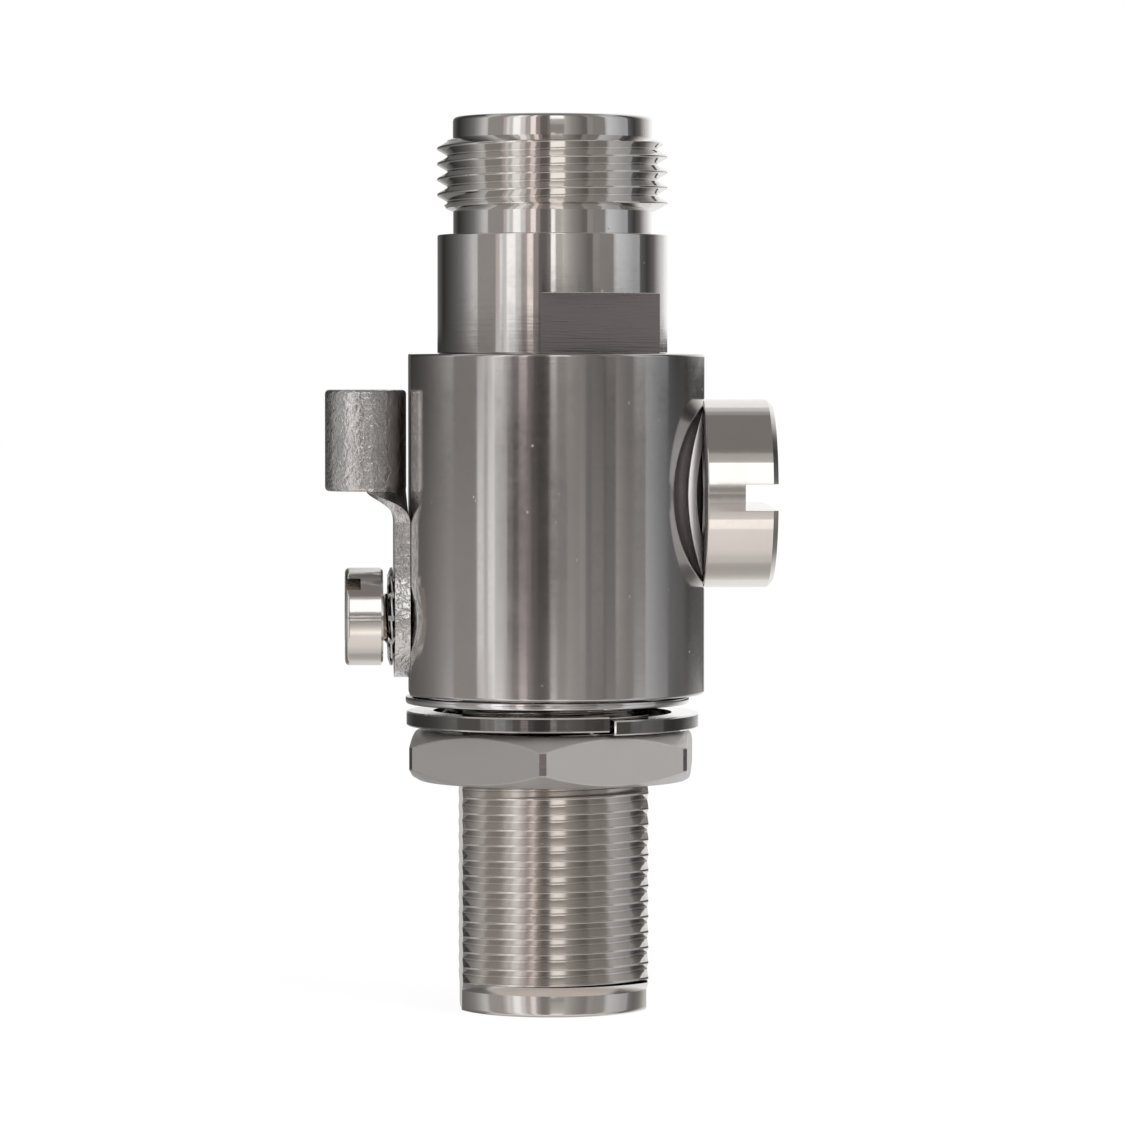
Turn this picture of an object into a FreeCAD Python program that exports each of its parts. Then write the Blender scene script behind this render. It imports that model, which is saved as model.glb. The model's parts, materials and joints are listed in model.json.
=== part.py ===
import FreeCAD, Part
import math
import os

import Sketcher
from FreeCAD import Placement, Rotation, Vector

# Coaxial lightning arrestor, socket to socket, for a bulkhead.
# A turned body with a double-D threaded barrel below carries a screwed-in jack shell on top.
# A slotted cap on the side presses a gas capsule against the centre conductor, and a wire lug
# is screwed to a flat on the other side. A hex nut and two washers hold the body in its panel.
# Millimetres. The main axis is Z, the mouth of the lower jack is at z = 0, the cap points
# along +X and the lug sits on -X. Threads are plain cylinders at their crest size.

SIZES = [
    # Interface of both jacks
    ("socket_radius", 4.05, "bore that takes the mating plug's ferrule"),
    ("socket_depth", 9.1, "mouth to shoulder"),
    ("line_radius", 3.5, "air line behind the shoulder"),
    ("line_length", 1.9, "length of that air line"),
    ("bead_radius", 5.0, "seat of the insulator"),
    ("bead_length", 8.0, "length of the insulator"),
    ("rim_radius", 6.87, "plain rim at the mouth"),
    ("rim_length", 1.47, "length of that rim"),
    ("rim_edge", 0.4, "broken edge of the mouth"),
    ("mouth_chamfer", 0.25, "broken edge of the bore"),
    # Body
    ("barrel_radius", 7.9, "crest of the lower thread"),
    ("barrel_length", 21.75, "mouth to the underside of the body"),
    ("barrel_lead", 0.75, "cone at the start of the lower thread"),
    ("barrel_across_flats", 12.7, "double-D flats, facing X"),
    ("body_radius", 10.5, "turned body"),
    ("body_edge", 0.2, "broken edges of the body"),
    ("lug_flat_depth", 0.62, "depth of the flat for the wire lug"),
    ("chamber_wall_step", 0.5, "air chamber's wall outside the insulator's seat"),
    ("chamber_floor_step", 1.0, "chamber floor above the lower insulator"),
    ("gasket_section", 0.42, "panel gasket, section radius"),
    ("gasket_room", 0.12, "side room of a seal in its groove"),
    # Upper jack shell
    ("spigot_radius", 6.5, "thread that screws into the body"),
    ("spigot_length", 4.2, "length of that thread"),
    ("neck_radius", 7.94, "plain neck above the body"),
    ("neck_length", 8.2, "length of the neck"),
    ("wrench_across_flats", 12.7, "two flats for the factory wrench"),
    ("wrench_length", 4.1, "height of those flats"),
    ("wrench_turn", -61.7, "direction that one of them faces, degrees"),
    ("undercut_radius", 6.85, "groove below the coupling thread"),
    ("undercut_length", 1.6, "length of the groove"),
    ("jack_thread_radius", 7.94, "crest of the coupling thread"),
    ("jack_thread_length", 5.05, "coupling thread with its two cones"),
    ("jack_thread_lead", 0.45, "each cone"),
    # Centre conductor and contacts
    ("conductor_radius", 2.4, "conductor in the chamber"),
    ("contact_radius", 1.52, "female contact"),
    ("contact_bore", 0.83, "bore for the mating pin"),
    ("contact_bore_depth", 6.0, "depth of that bore"),
    ("contact_recess", 5.2, "contact tip behind the mouth"),
    ("contact_slot", 0.25, "width of the four slots"),
    ("contact_slot_depth", 5.0, "depth of the slots"),
    ("stud_radius", 0.9, "stud that joins contact and conductor"),
    ("stud_length", 3.0, "length of the stud"),
    ("stud_room", 0.5, "hole left past the end of the stud"),
    # Port, capsule and cap
    ("port_height", 13.82, "port axis above the underside of the body"),
    ("port_to_spigot", 5.43, "port axis to the end of the shell's spigot"),
    ("port_radius", 4.0, "tapped port"),
    ("spotface_depth", 0.25, "depth of the flat under the cap"),
    ("spotface_radius", 6.7, "radius of that flat"),
    ("capsule_seat", 2.0, "flat on the conductor, from the axis"),
    ("capsule_radius", 2.75, "gas capsule"),
    ("capsule_length", 6.0, "length of the capsule"),
    ("electrode_flange", 0.9, "thickness of each electrode's flange"),
    ("electrode_boss_radius", 1.3, "boss inside the capsule"),
    ("spark_gap", 1.0, "gap between the two bosses"),
    ("ceramic_wall", 0.65, "wall of the ceramic tube"),
    ("cap_radius", 6.5, "head of the cap"),
    ("cap_head_length", 4.87, "length of the head"),
    ("cap_chamfer", 0.36, "outer edge of the head"),
    ("capsule_bare_length", 4.2, "length of the capsule left outside the cap's cup"),
    ("cap_cup_room", 0.2, "radial room of the capsule in its cup"),
    ("cap_slot_width", 1.8, "coin slot"),
    ("cap_slot_depth", 2.28, "depth of the slot"),
    ("cap_slot_turn", 1.4, "slot turned from Y, degrees"),
    ("spring_height", 1.1, "dished spring in the cup"),
    ("spring_inner_radius", 1.1, "hole of that spring"),
    ("spring_sheet", 0.25, "thickness of the spring"),
    ("cap_seal_section", 0.4, "seal under the head, section radius"),
    # Wire lug, its washer and screw
    ("lug_height", 5.35, "screw axis above the underside of the body"),
    ("lug_sheet", 1.05, "sheet that the lug is pressed from"),
    ("lug_eye_radius", 4.2, "outside of the eye"),
    ("lug_hole_radius", 2.2, "hole of the eye"),
    ("lug_tongue_half_width", 3.6, "tongue below the wire barrel"),
    ("lug_tongue_length", 6.9, "screw axis to the start of the curl"),
    ("curl_height", 1.75, "start of the curl to the wire barrel"),
    ("curl_hollow", 0.25, "hollow of the curl's edge"),
    ("wire_barrel_radius", 2.8, "outside of the wire barrel"),
    ("wire_barrel_bore", 1.85, "bore of the wire barrel"),
    ("wire_barrel_length", 7.0, "length of the barrel"),
    ("wire_barrel_lift", 0.22, "barrel clear of the body's flat"),
    ("screw_thread_radius", 1.95, "crest of the lug screw"),
    ("screw_hole_radius", 2.0, "tapped hole for it"),
    ("screw_hole_depth", 3.55, "depth of that hole"),
    ("screw_reach", 3.3, "screw tip inside the flat"),
    ("screw_head_radius", 3.375, "cheese head"),
    ("screw_head_length", 2.6, "height of the head"),
    ("screw_edge", 0.3, "broken edge of the head"),
    ("screw_slot_width", 1.05, "screwdriver slot"),
    ("screw_slot_depth", 1.05, "depth of the slot"),
    ("screw_slot_turn", 46.0, "slot turned from upright, degrees"),
    ("tooth_washer_radius", 3.4, "toothed washer"),
    ("tooth_washer_sheet", 0.43, "height of the toothed washer"),
    ("tooth_count", 10, "gaps between its teeth"),
    ("tooth_gap", 0.7, "width of each gap"),
    ("tooth_gap_depth", 0.7, "depth of each gap"),
    ("screw_head_gap", 0.33, "thread left showing under the head"),
    # Panel nut and washers
    ("nut_wall", 1.55, "wall of the hex nut at its flats"),
    ("nut_thickness", 3.5, "height of the nut"),
    ("nut_corner_turn", -96.2, "direction of one corner, degrees"),
    ("nut_face_inset", 0.3, "round face left by the chamfers, inside the flats"),
    ("nut_chamfer_angle", 30.0, "corner chamfers, degrees"),
    ("lock_washer_room", 0.35, "radial room of the split lock washer on the barrel"),
    ("lock_washer_width", 1.85, "width of its section"),
    ("lock_washer_section", 1.02, "height of its section"),
    ("lock_washer_rise", 0.25, "how far one end stands higher"),
    ("lock_washer_split", 1.6, "angle of the split at the start, degrees"),
    ("lock_washer_turn", -68.0, "direction of the split, degrees"),
    ("flat_washer_room", 0.4, "radial room of the flat washer on the barrel"),
    ("flat_washer_width", 1.55, "width of the flat washer"),
    ("flat_washer_sheet", 0.5, "thickness of the flat washer"),
    ("flat_washer_shift", 0.35, "how far it hangs off centre, to -X"),
    ("washer_gap", 0.1, "play between the nut and the loose lock washer"),
    ("washer_play", 0.43, "play between the lock washer's high end and the flat washer"),
    ("body_gap", 0.15, "play above the flat washer"),
    # Fits
    ("running_gap", 0.05, "radial play of a screwed fit"),
    ("seat_gap", 0.02, "faces that bear on each other"),
    ("push_gap", 0.03, "radial play of a pushed-in piece"),
]

SHEET_NAME = "Sizes"
MARGIN = 2.0

doc = FreeCAD.newDocument("LightningArrestor")


def make_sheet():
    """Write the driving sizes into a spreadsheet, one alias per row."""
    page = doc.addObject("Spreadsheet::Sheet", SHEET_NAME)
    for row, (alias, value, meaning) in enumerate(SIZES, start=1):
        page.set(f"A{row}", alias)
        page.set(f"B{row}", str(value))
        page.set(f"C{row}", meaning)
        page.setAlias(f"B{row}", alias)
    doc.recompute()
    return page


def size(alias):
    """Expression that reads one size."""
    return f"{SHEET_NAME}.{alias}"


def total(*terms):
    """Expression for a sum of sizes, numbers or other expressions."""
    return "(" + " + ".join(str(term) for term in terms) + ")"


def less(first, *others):
    """Expression for the first term less all the others."""
    return "(" + " - ".join(str(term) for term in (first, *others)) + ")"


def half(term):
    """Expression for half a size."""
    return f"({term} / 2)"


def value(expression):
    """Number that an expression stands for."""
    return float(page.evalExpression(expression))


page = make_sheet()

# Heights and offsets that follow from the driving sizes
UNDERSIDE = size("barrel_length")
PORT_AXIS = total(UNDERSIDE, size("port_height"))
SPIGOT_BOTTOM = total(PORT_AXIS, size("port_to_spigot"))
BODY_TOP = total(SPIGOT_BOTTOM, size("spigot_length"))
NECK_TOP = total(BODY_TOP, size("neck_length"))
UNDERCUT_TOP = total(NECK_TOP, size("undercut_length"))
JACK_THREAD_TOP = total(UNDERCUT_TOP, size("jack_thread_length"))
SHELL_TOP = total(JACK_THREAD_TOP, size("rim_length"))
STACK = total(size("socket_depth"), size("line_length"), size("bead_length"))
BEAD_SHOULDER = total(size("socket_depth"), size("line_length"))
SPOTFACE = less(size("body_radius"), size("spotface_depth"))
CAP_UNDERSIDE = total(SPOTFACE, size("seat_gap"))
CAPSULE_START = total(size("capsule_seat"), size("seat_gap"))
SHANK_TIP = total(CAPSULE_START, size("capsule_bare_length"))
CAPSULE_END = total(CAPSULE_START, size("capsule_length"))
CUP_RADIUS = total(size("capsule_radius"), size("cap_cup_room"))
CUP_BOTTOM = total(CAPSULE_END, size("spring_height"), size("push_gap"), size("push_gap"))
GASKET_RADIUS = half(total(size("barrel_radius"), size("body_radius")))
LUG_FLAT = less(size("body_radius"), size("lug_flat_depth"))
LUG_AXIS = total(UNDERSIDE, size("lug_height"))
TONGUE_TOP = total(LUG_AXIS, size("lug_tongue_length"))
WIRE_BARREL_BOTTOM = total(TONGUE_TOP, size("curl_height"))
LUG_INNER = total(LUG_FLAT, size("seat_gap"))
LUG_OUTER = total(LUG_INNER, size("lug_sheet"))
TOOTH_INNER = total(LUG_OUTER, size("seat_gap"))
TOOTH_OUTER = total(TOOTH_INNER, size("tooth_washer_sheet"))
SCREW_SEAT = total(TOOTH_OUTER, size("screw_head_gap"))
WIRE_BARREL_OFFSET = total(LUG_FLAT, size("wire_barrel_lift"), size("wire_barrel_radius"))
FLAT_WASHER_TOP = less(UNDERSIDE, size("body_gap"))
FLAT_WASHER_BOTTOM = less(FLAT_WASHER_TOP, size("flat_washer_sheet"))
LOCK_WASHER_TOP = less(FLAT_WASHER_BOTTOM, size("washer_play"), size("lock_washer_rise"))
LOCK_WASHER_BOTTOM = less(LOCK_WASHER_TOP, size("lock_washer_section"))
LOCK_WASHER_HOLE = total(size("barrel_radius"), size("lock_washer_room"))
FLAT_WASHER_HOLE = total(size("barrel_radius"), size("flat_washer_room"))
NUT_TOP = less(LOCK_WASHER_BOTTOM, size("washer_gap"))
NUT_BOTTOM = less(NUT_TOP, size("nut_thickness"))
NUT_BORE = total(size("barrel_radius"), size("running_gap"))
NUT_FLAT = total(NUT_BORE, size("nut_wall"))
ALONG_X = Rotation(Vector(0, 1, 0), 90)
ALONG_MINUS_X = Rotation(Vector(0, 1, 0), -90)


def add_body(name, turn=None, height=None, turn_z=None):
    """Start a piece: a body whose label names its file, placed on the shared axis."""
    body = doc.addObject("PartDesign::Body", name)
    body.Label = name
    if turn is not None:
        body.Placement = Placement(Vector(0, 0, 0), turn)
    if turn_z is not None:
        body.Placement = Placement(Vector(0, 0, 0), Rotation(Vector(0, 0, 1), 1))
        body.setExpression("Placement.Rotation.Angle", turn_z)
    if height is not None:
        body.setExpression("Placement.Base.z", height)
    return body


def origin_part(body, role):
    """One of the body's own origin planes or axes."""
    return next(item for item in body.Origin.OriginFeatures if item.Role == role)


def add_sketch(body, name, role, offset=None, turn=None):
    """Empty sketch on one of the body's origin planes, moved along its normal and turned."""
    sketch = body.newObject("Sketcher::SketchObject", name)
    sketch.AttachmentSupport = [(origin_part(body, role), "")]
    sketch.MapMode = "FlatFace"
    if turn is not None:
        sketch.AttachmentOffset = Placement(Vector(0, 0, 0), Rotation(Vector(0, 0, 1), 1))
        sketch.setExpression("AttachmentOffset.Rotation.Angle", turn)
    if offset is not None:
        sketch.setExpression("AttachmentOffset.Base.z", offset)
    return sketch


def pin_point(sketch, line, end, place):
    """Tie one end of a line to a pair of expressions measured from the sketch origin."""
    across, up = place
    for kind, axis, value in (("DistanceX", -2, across), ("DistanceY", -1, up)):
        if value == "0":
            sketch.addConstraint(Sketcher.Constraint("PointOnObject", line, end, axis))
        else:
            index = sketch.addConstraint(Sketcher.Constraint(kind, -1, 1, line, end, 1.0))
            sketch.setExpression(f"Constraints[{index}]", value)


def draw_outline(sketch, corners):
    """Closed outline of straight lines with every corner tied to its expressions."""
    count = len(corners)
    first = sketch.GeometryCount
    spread = [
        Vector(math.cos(math.tau * step / count), math.sin(math.tau * step / count), 0)
        for step in range(count)
    ]
    for step in range(count):
        sketch.addGeometry(Part.LineSegment(spread[step], spread[(step + 1) % count]), False)
    for step in range(count):
        following = first + (step + 1) % count
        sketch.addConstraint(Sketcher.Constraint("Coincident", first + step, 2, following, 1))
    for step, place in enumerate(corners):
        pin_point(sketch, first + step, 1, place)


def draw_circle(sketch, radius, centre=("0", "0")):
    """Circle with its radius and centre tied to expressions."""
    ring = sketch.addGeometry(Part.Circle(Vector(1, 1, 0), Vector(0, 0, 1), 1.0), False)
    pin_point(sketch, ring, 3, centre)
    index = sketch.addConstraint(Sketcher.Constraint("Radius", ring, 1.0))
    sketch.setExpression(f"Constraints[{index}]", radius)


def turned(body, name, corners, kind="Revolution"):
    """Solid of revolution, or a groove, about the body's Z axis, from (radius, height)."""
    sketch = add_sketch(body, f"{name}_profile", "XZ_Plane")
    draw_outline(sketch, corners)
    feature = body.newObject(f"PartDesign::{kind}", name)
    feature.Profile = sketch
    feature.ReferenceAxis = (sketch, ["V_Axis"])
    feature.Angle = 360
    body.Tip = feature
    doc.recompute()
    return feature


def ring(body, name, inner, outer, bottom, top):
    """Plain turned ring."""
    return turned(body, name, [(inner, bottom), (outer, bottom), (outer, top), (inner, top)])


def bored(body, name, radius, depth, place, turn=None):
    """Round hole from a place on the body, along +Z or turned."""
    hole = body.newObject("PartDesign::SubtractiveCylinder", name)
    if turn is not None:
        hole.Placement = Placement(Vector(0, 0, 0), turn)
    for axis, value in zip("xyz", place):
        hole.setExpression(f"Placement.Base.{axis}", value)
    hole.setExpression("Radius", radius)
    hole.setExpression("Height", depth)
    body.Tip = hole
    doc.recompute()
    return hole


def milled(body, name, lengths, place):
    """Box cut away: its three lengths and its lowest corner are expressions."""
    block = body.newObject("PartDesign::SubtractiveBox", name)
    for side, value in zip(("Length", "Width", "Height"), lengths):
        block.setExpression(side, value)
    for axis, value in zip("xyz", place):
        block.setExpression(f"Placement.Base.{axis}", value)
    body.Tip = block
    doc.recompute()
    return block


def slot_across(body, name, width, depth, top, reach, turn):
    """Screwdriver slot across the face at the top of a piece, turned about Z."""
    sketch = add_sketch(body, f"{name}_outline", "XY_Plane", top, turn)
    side = half(width)
    draw_outline(
        sketch,
        [(f"-{side}", f"-{reach}"), (side, f"-{reach}"), (side, reach), (f"-{side}", reach)],
    )
    slot = body.newObject("PartDesign::Pocket", name)
    slot.Profile = sketch
    slot.setExpression("Length", depth)
    body.Tip = slot
    doc.recompute()
    return slot


def paired_flats(body, name, across, reach, bottom, length, turn=None):
    """Two parallel flats milled on a round piece, from a height upwards."""
    sketch = add_sketch(body, f"{name}_outline", "XY_Plane", bottom, turn)
    near, far = half(across), total(reach, MARGIN)
    draw_outline(sketch, [(near, f"-{far}"), (far, f"-{far}"), (far, far), (near, far)])
    draw_outline(
        sketch,
        [(f"-{far}", f"-{far}"), (f"-{near}", f"-{far}"), (f"-{near}", far), (f"-{far}", far)],
    )
    flats = body.newObject("PartDesign::Pocket", name)
    flats.Profile = sketch
    flats.Reversed = True
    flats.setExpression("Length", length)
    body.Tip = flats
    doc.recompute()
    return flats


def make_main_body():
    """Turned body with its barrel, chamber, port, lug flat and double-D flats."""
    body = add_body("main_body")
    chamber_floor = total(STACK, size("chamber_floor_step"))
    chamber_radius = total(size("bead_radius"), size("chamber_wall_step"))
    groove_inner = less(GASKET_RADIUS, size("gasket_section"), size("gasket_room"))
    groove_outer = total(GASKET_RADIUS, size("gasket_section"), size("gasket_room"))
    groove_roof = total(UNDERSIDE, size("gasket_section"), size("gasket_section"))
    counterbore = total(size("spigot_radius"), size("running_gap"))
    seal_wall = total(size("spigot_radius"), size("gasket_section"), size("gasket_section"),
                      size("gasket_room"), size("gasket_room"))
    seal_floor = less(BODY_TOP, size("gasket_section"), size("gasket_section"), size("push_gap"))
    mouth = total(size("socket_radius"), size("mouth_chamfer"))
    turned(body, "turned_body", [
        (mouth, "0"),
        (less(size("rim_radius"), size("rim_edge")), "0"),
        (size("rim_radius"), size("rim_edge")),
        (size("rim_radius"), size("rim_length")),
        (size("barrel_radius"), total(size("rim_length"), size("barrel_lead"))),
        (size("barrel_radius"), UNDERSIDE),
        (groove_inner, UNDERSIDE),
        (groove_inner, groove_roof),
        (groove_outer, groove_roof),
        (groove_outer, UNDERSIDE),
        (less(size("body_radius"), size("body_edge")), UNDERSIDE),
        (size("body_radius"), total(UNDERSIDE, size("body_edge"))),
        (size("body_radius"), less(BODY_TOP, size("body_edge"))),
        (less(size("body_radius"), size("body_edge")), BODY_TOP),
        (seal_wall, BODY_TOP),
        (seal_wall, seal_floor),
        (counterbore, seal_floor),
        (counterbore, SPIGOT_BOTTOM),
        (chamber_radius, SPIGOT_BOTTOM),
        (chamber_radius, chamber_floor),
        (size("bead_radius"), chamber_floor),
        (size("bead_radius"), BEAD_SHOULDER),
        (size("line_radius"), BEAD_SHOULDER),
        (size("line_radius"), size("socket_depth")),
        (size("socket_radius"), size("socket_depth")),
        (size("socket_radius"), size("mouth_chamfer")),
    ])
    paired_flats(body, "double_d", size("barrel_across_flats"), size("barrel_radius"),
                 "0", UNDERSIDE)
    side = total(size("body_radius"), MARGIN)
    milled(body, "lug_flat",
           (side, total(side, side), less(BODY_TOP, UNDERSIDE)),
           (f"-{total(LUG_FLAT, side)}", f"-{side}", UNDERSIDE))
    bored(body, "spotface", size("spotface_radius"), size("body_radius"),
          (SPOTFACE, "0", PORT_AXIS), ALONG_X)
    bored(body, "port", size("port_radius"), side, ("0", "0", PORT_AXIS), ALONG_X)
    bored(body, "lug_screw_hole", size("screw_hole_radius"),
          total(size("screw_hole_depth"), MARGIN),
          (f"-{less(LUG_FLAT, size('screw_hole_depth'))}", "0", LUG_AXIS), ALONG_MINUS_X)
    return body


def make_upper_jack_shell():
    """Jack shell that screws into the top of the body."""
    body = add_body("upper_jack_shell")
    bottom = total(SPIGOT_BOTTOM, size("seat_gap"))
    shoulder = total(BODY_TOP, size("seat_gap"))
    bore_step = less(SHELL_TOP, size("socket_depth"))
    bead_roof = less(bore_step, size("line_length"))
    mouth = total(size("socket_radius"), size("mouth_chamfer"))
    turned(body, "turned_shell", [
        (size("bead_radius"), bottom),
        (size("spigot_radius"), bottom),
        (size("spigot_radius"), shoulder),
        (size("neck_radius"), shoulder),
        (size("neck_radius"), NECK_TOP),
        (size("undercut_radius"), NECK_TOP),
        (size("undercut_radius"), UNDERCUT_TOP),
        (size("jack_thread_radius"), total(UNDERCUT_TOP, size("jack_thread_lead"))),
        (size("jack_thread_radius"), less(JACK_THREAD_TOP, size("jack_thread_lead"))),
        (size("rim_radius"), JACK_THREAD_TOP),
        (size("rim_radius"), less(SHELL_TOP, size("rim_edge"))),
        (less(size("rim_radius"), size("rim_edge")), SHELL_TOP),
        (mouth, SHELL_TOP),
        (size("socket_radius"), less(SHELL_TOP, size("mouth_chamfer"))),
        (size("socket_radius"), bore_step),
        (size("line_radius"), bore_step),
        (size("line_radius"), bead_roof),
        (size("bead_radius"), bead_roof),
    ])
    paired_flats(body, "wrench_flats", size("wrench_across_flats"), size("neck_radius"),
                 BODY_TOP, size("wrench_length"), size("wrench_turn"))
    return body


def make_seal(name, centre_radius, section, height, turn=None, axis_height=None):
    """Rubber ring of round section, at a height along its own axis."""
    body = add_body(name, turn=turn, height=axis_height)
    torus = body.newObject("PartDesign::AdditiveTorus", f"{name}_torus")
    torus.setExpression("Radius1", centre_radius)
    torus.setExpression("Radius2", section)
    torus.setExpression("Placement.Base.z", height)
    body.Tip = torus
    doc.recompute()
    return body


def make_insulator(name, bottom):
    """Plastic bead between the contact and the outer conductor."""
    body = add_body(name)
    ring(body, f"{name}_ring", total(size("contact_radius"), size("push_gap")),
         less(size("bead_radius"), size("push_gap")),
         total(bottom, size("seat_gap")), less(total(bottom, size("bead_length")),
                                               size("seat_gap")))
    return body


def make_centre_conductor():
    """Rod through the chamber, with a stud hole in each end and a seat for the capsule."""
    body = add_body("centre_conductor")
    hole = total(size("stud_radius"), size("push_gap"))
    depth = total(size("stud_length"), size("stud_room"))
    top = less(SHELL_TOP, STACK)
    turned(body, "turned_rod", [
        (hole, STACK),
        (size("conductor_radius"), STACK),
        (size("conductor_radius"), top),
        (hole, top),
        (hole, less(top, depth)),
        ("0", less(top, depth)),
        ("0", total(STACK, depth)),
        (hole, total(STACK, depth)),
    ])
    room = total(size("capsule_radius"), size("push_gap"))
    milled(body, "capsule_seat_flat",
           (size("conductor_radius"), total(room, room), total(room, room)),
           (size("capsule_seat"), f"-{room}", less(PORT_AXIS, room)))
    return body


def make_contact(name, place, turn):
    """Female contact with four slotted fingers and a stud on its back."""
    body = add_body(name, turn=turn, height=place)
    back = less(less(STACK, size("contact_recess")), size("seat_gap"))
    lead = size("contact_slot")
    turned(body, f"{name}_turned", [
        (total(size("contact_bore"), lead), "0"),
        (less(size("contact_radius"), lead), "0"),
        (size("contact_radius"), lead),
        (size("contact_radius"), back),
        (size("stud_radius"), back),
        (size("stud_radius"), total(back, size("stud_length"))),
        ("0", total(back, size("stud_length"))),
        ("0", size("contact_bore_depth")),
        (size("contact_bore"), size("contact_bore_depth")),
        (size("contact_bore"), lead),
    ])
    reach = total(size("contact_radius"), MARGIN)
    side = half(size("contact_slot"))
    sketch = add_sketch(body, f"{name}_slot_outline", "XY_Plane")
    draw_outline(
        sketch,
        [(f"-{side}", f"-{reach}"), (side, f"-{reach}"), (side, reach), (f"-{side}", reach)],
    )
    slot = body.newObject("PartDesign::Pocket", f"{name}_slot")
    slot.Profile = sketch
    slot.Reversed = True
    slot.setExpression("Length", size("contact_slot_depth"))
    body.Tip = slot
    doc.recompute()
    return repeated(body, slot, f"{name}_slots", 2, 180)


def repeated(body, feature, name, count, angle):
    """Repeat a feature about the body's Z axis."""
    pattern = body.newObject("PartDesign::PolarPattern", name)
    pattern.Originals = [feature]
    pattern.Axis = (origin_part(body, "Z_Axis"), [""])
    pattern.Angle = angle
    pattern.Occurrences = count
    body.Tip = pattern
    doc.recompute()
    return body


def make_capsule():
    """Gas capsule: a ceramic tube and two electrodes that face each other across a gap."""
    face, back = CAPSULE_START, CAPSULE_END
    inner_step = total(face, size("electrode_flange"))
    outer_step = less(back, size("electrode_flange"))
    middle = half(total(face, back))
    near = less(middle, half(size("spark_gap")))
    far = total(middle, half(size("spark_gap")))
    tube = add_body("capsule_ceramic", turn=ALONG_X, height=PORT_AXIS)
    ring(tube, "ceramic_tube", less(size("capsule_radius"), size("ceramic_wall")),
         size("capsule_radius"), inner_step, outer_step)
    electrodes = (("capsule_inner_electrode", face, inner_step, near),
                  ("capsule_outer_electrode", back, outer_step, far))
    made = [tube]
    for name, rim, step, tip in electrodes:
        body = add_body(name, turn=ALONG_X, height=PORT_AXIS)
        turned(body, f"{name}_turned", [
            ("0", rim),
            (size("capsule_radius"), rim),
            (size("capsule_radius"), step),
            (size("electrode_boss_radius"), step),
            (size("electrode_boss_radius"), tip),
            ("0", tip),
        ])
        made.append(body)
    return made


def make_capsule_spring():
    """Dished spring that presses the capsule onto the conductor."""
    body = add_body("capsule_spring", turn=ALONG_X, height=PORT_AXIS)
    start = total(CAPSULE_END, size("push_gap"))
    end = total(start, size("spring_height"))
    outer = less(CUP_RADIUS, size("running_gap"), size("push_gap"))
    turned(body, "dished_ring", [
        (outer, start),
        (outer, total(start, size("spring_sheet"))),
        (size("spring_inner_radius"), end),
        (size("spring_inner_radius"), less(end, size("spring_sheet"))),
    ])
    return body


def make_port_cap():
    """Slotted cap with a threaded cup that holds the capsule."""
    body = add_body("port_cap", turn=ALONG_X, height=PORT_AXIS)
    shank = less(size("port_radius"), size("running_gap"))
    groove = less(shank, size("cap_seal_section"), size("cap_seal_section"))
    groove_end = less(CAP_UNDERSIDE, size("gasket_room"))
    groove_start = less(groove_end, size("cap_seal_section"), size("cap_seal_section"),
                        size("gasket_room"))
    face = total(CAP_UNDERSIDE, size("cap_head_length"))
    turned(body, "turned_cap", [
        (CUP_RADIUS, SHANK_TIP),
        (less(shank, size("cap_chamfer")), SHANK_TIP),
        (shank, total(SHANK_TIP, size("cap_chamfer"))),
        (shank, groove_start),
        (groove, groove_start),
        (groove, groove_end),
        (shank, groove_end),
        (shank, CAP_UNDERSIDE),
        (less(size("cap_radius"), size("body_edge")), CAP_UNDERSIDE),
        (size("cap_radius"), total(CAP_UNDERSIDE, size("body_edge"))),
        (size("cap_radius"), less(face, size("cap_chamfer"))),
        (less(size("cap_radius"), size("cap_chamfer")), face),
        ("0", face),
        ("0", CUP_BOTTOM),
        (CUP_RADIUS, CUP_BOTTOM),
    ])
    slot_across(body, "coin_slot", size("cap_slot_width"), size("cap_slot_depth"), face,
                total(size("cap_radius"), MARGIN), size("cap_slot_turn"))
    return body


def padded(body, name, sketch, length):
    """Pad a sketch upwards along its normal."""
    pad = body.newObject("PartDesign::Pad", name)
    pad.Profile = sketch
    pad.setExpression("Length", length)
    body.Tip = pad
    doc.recompute()
    return pad


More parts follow.
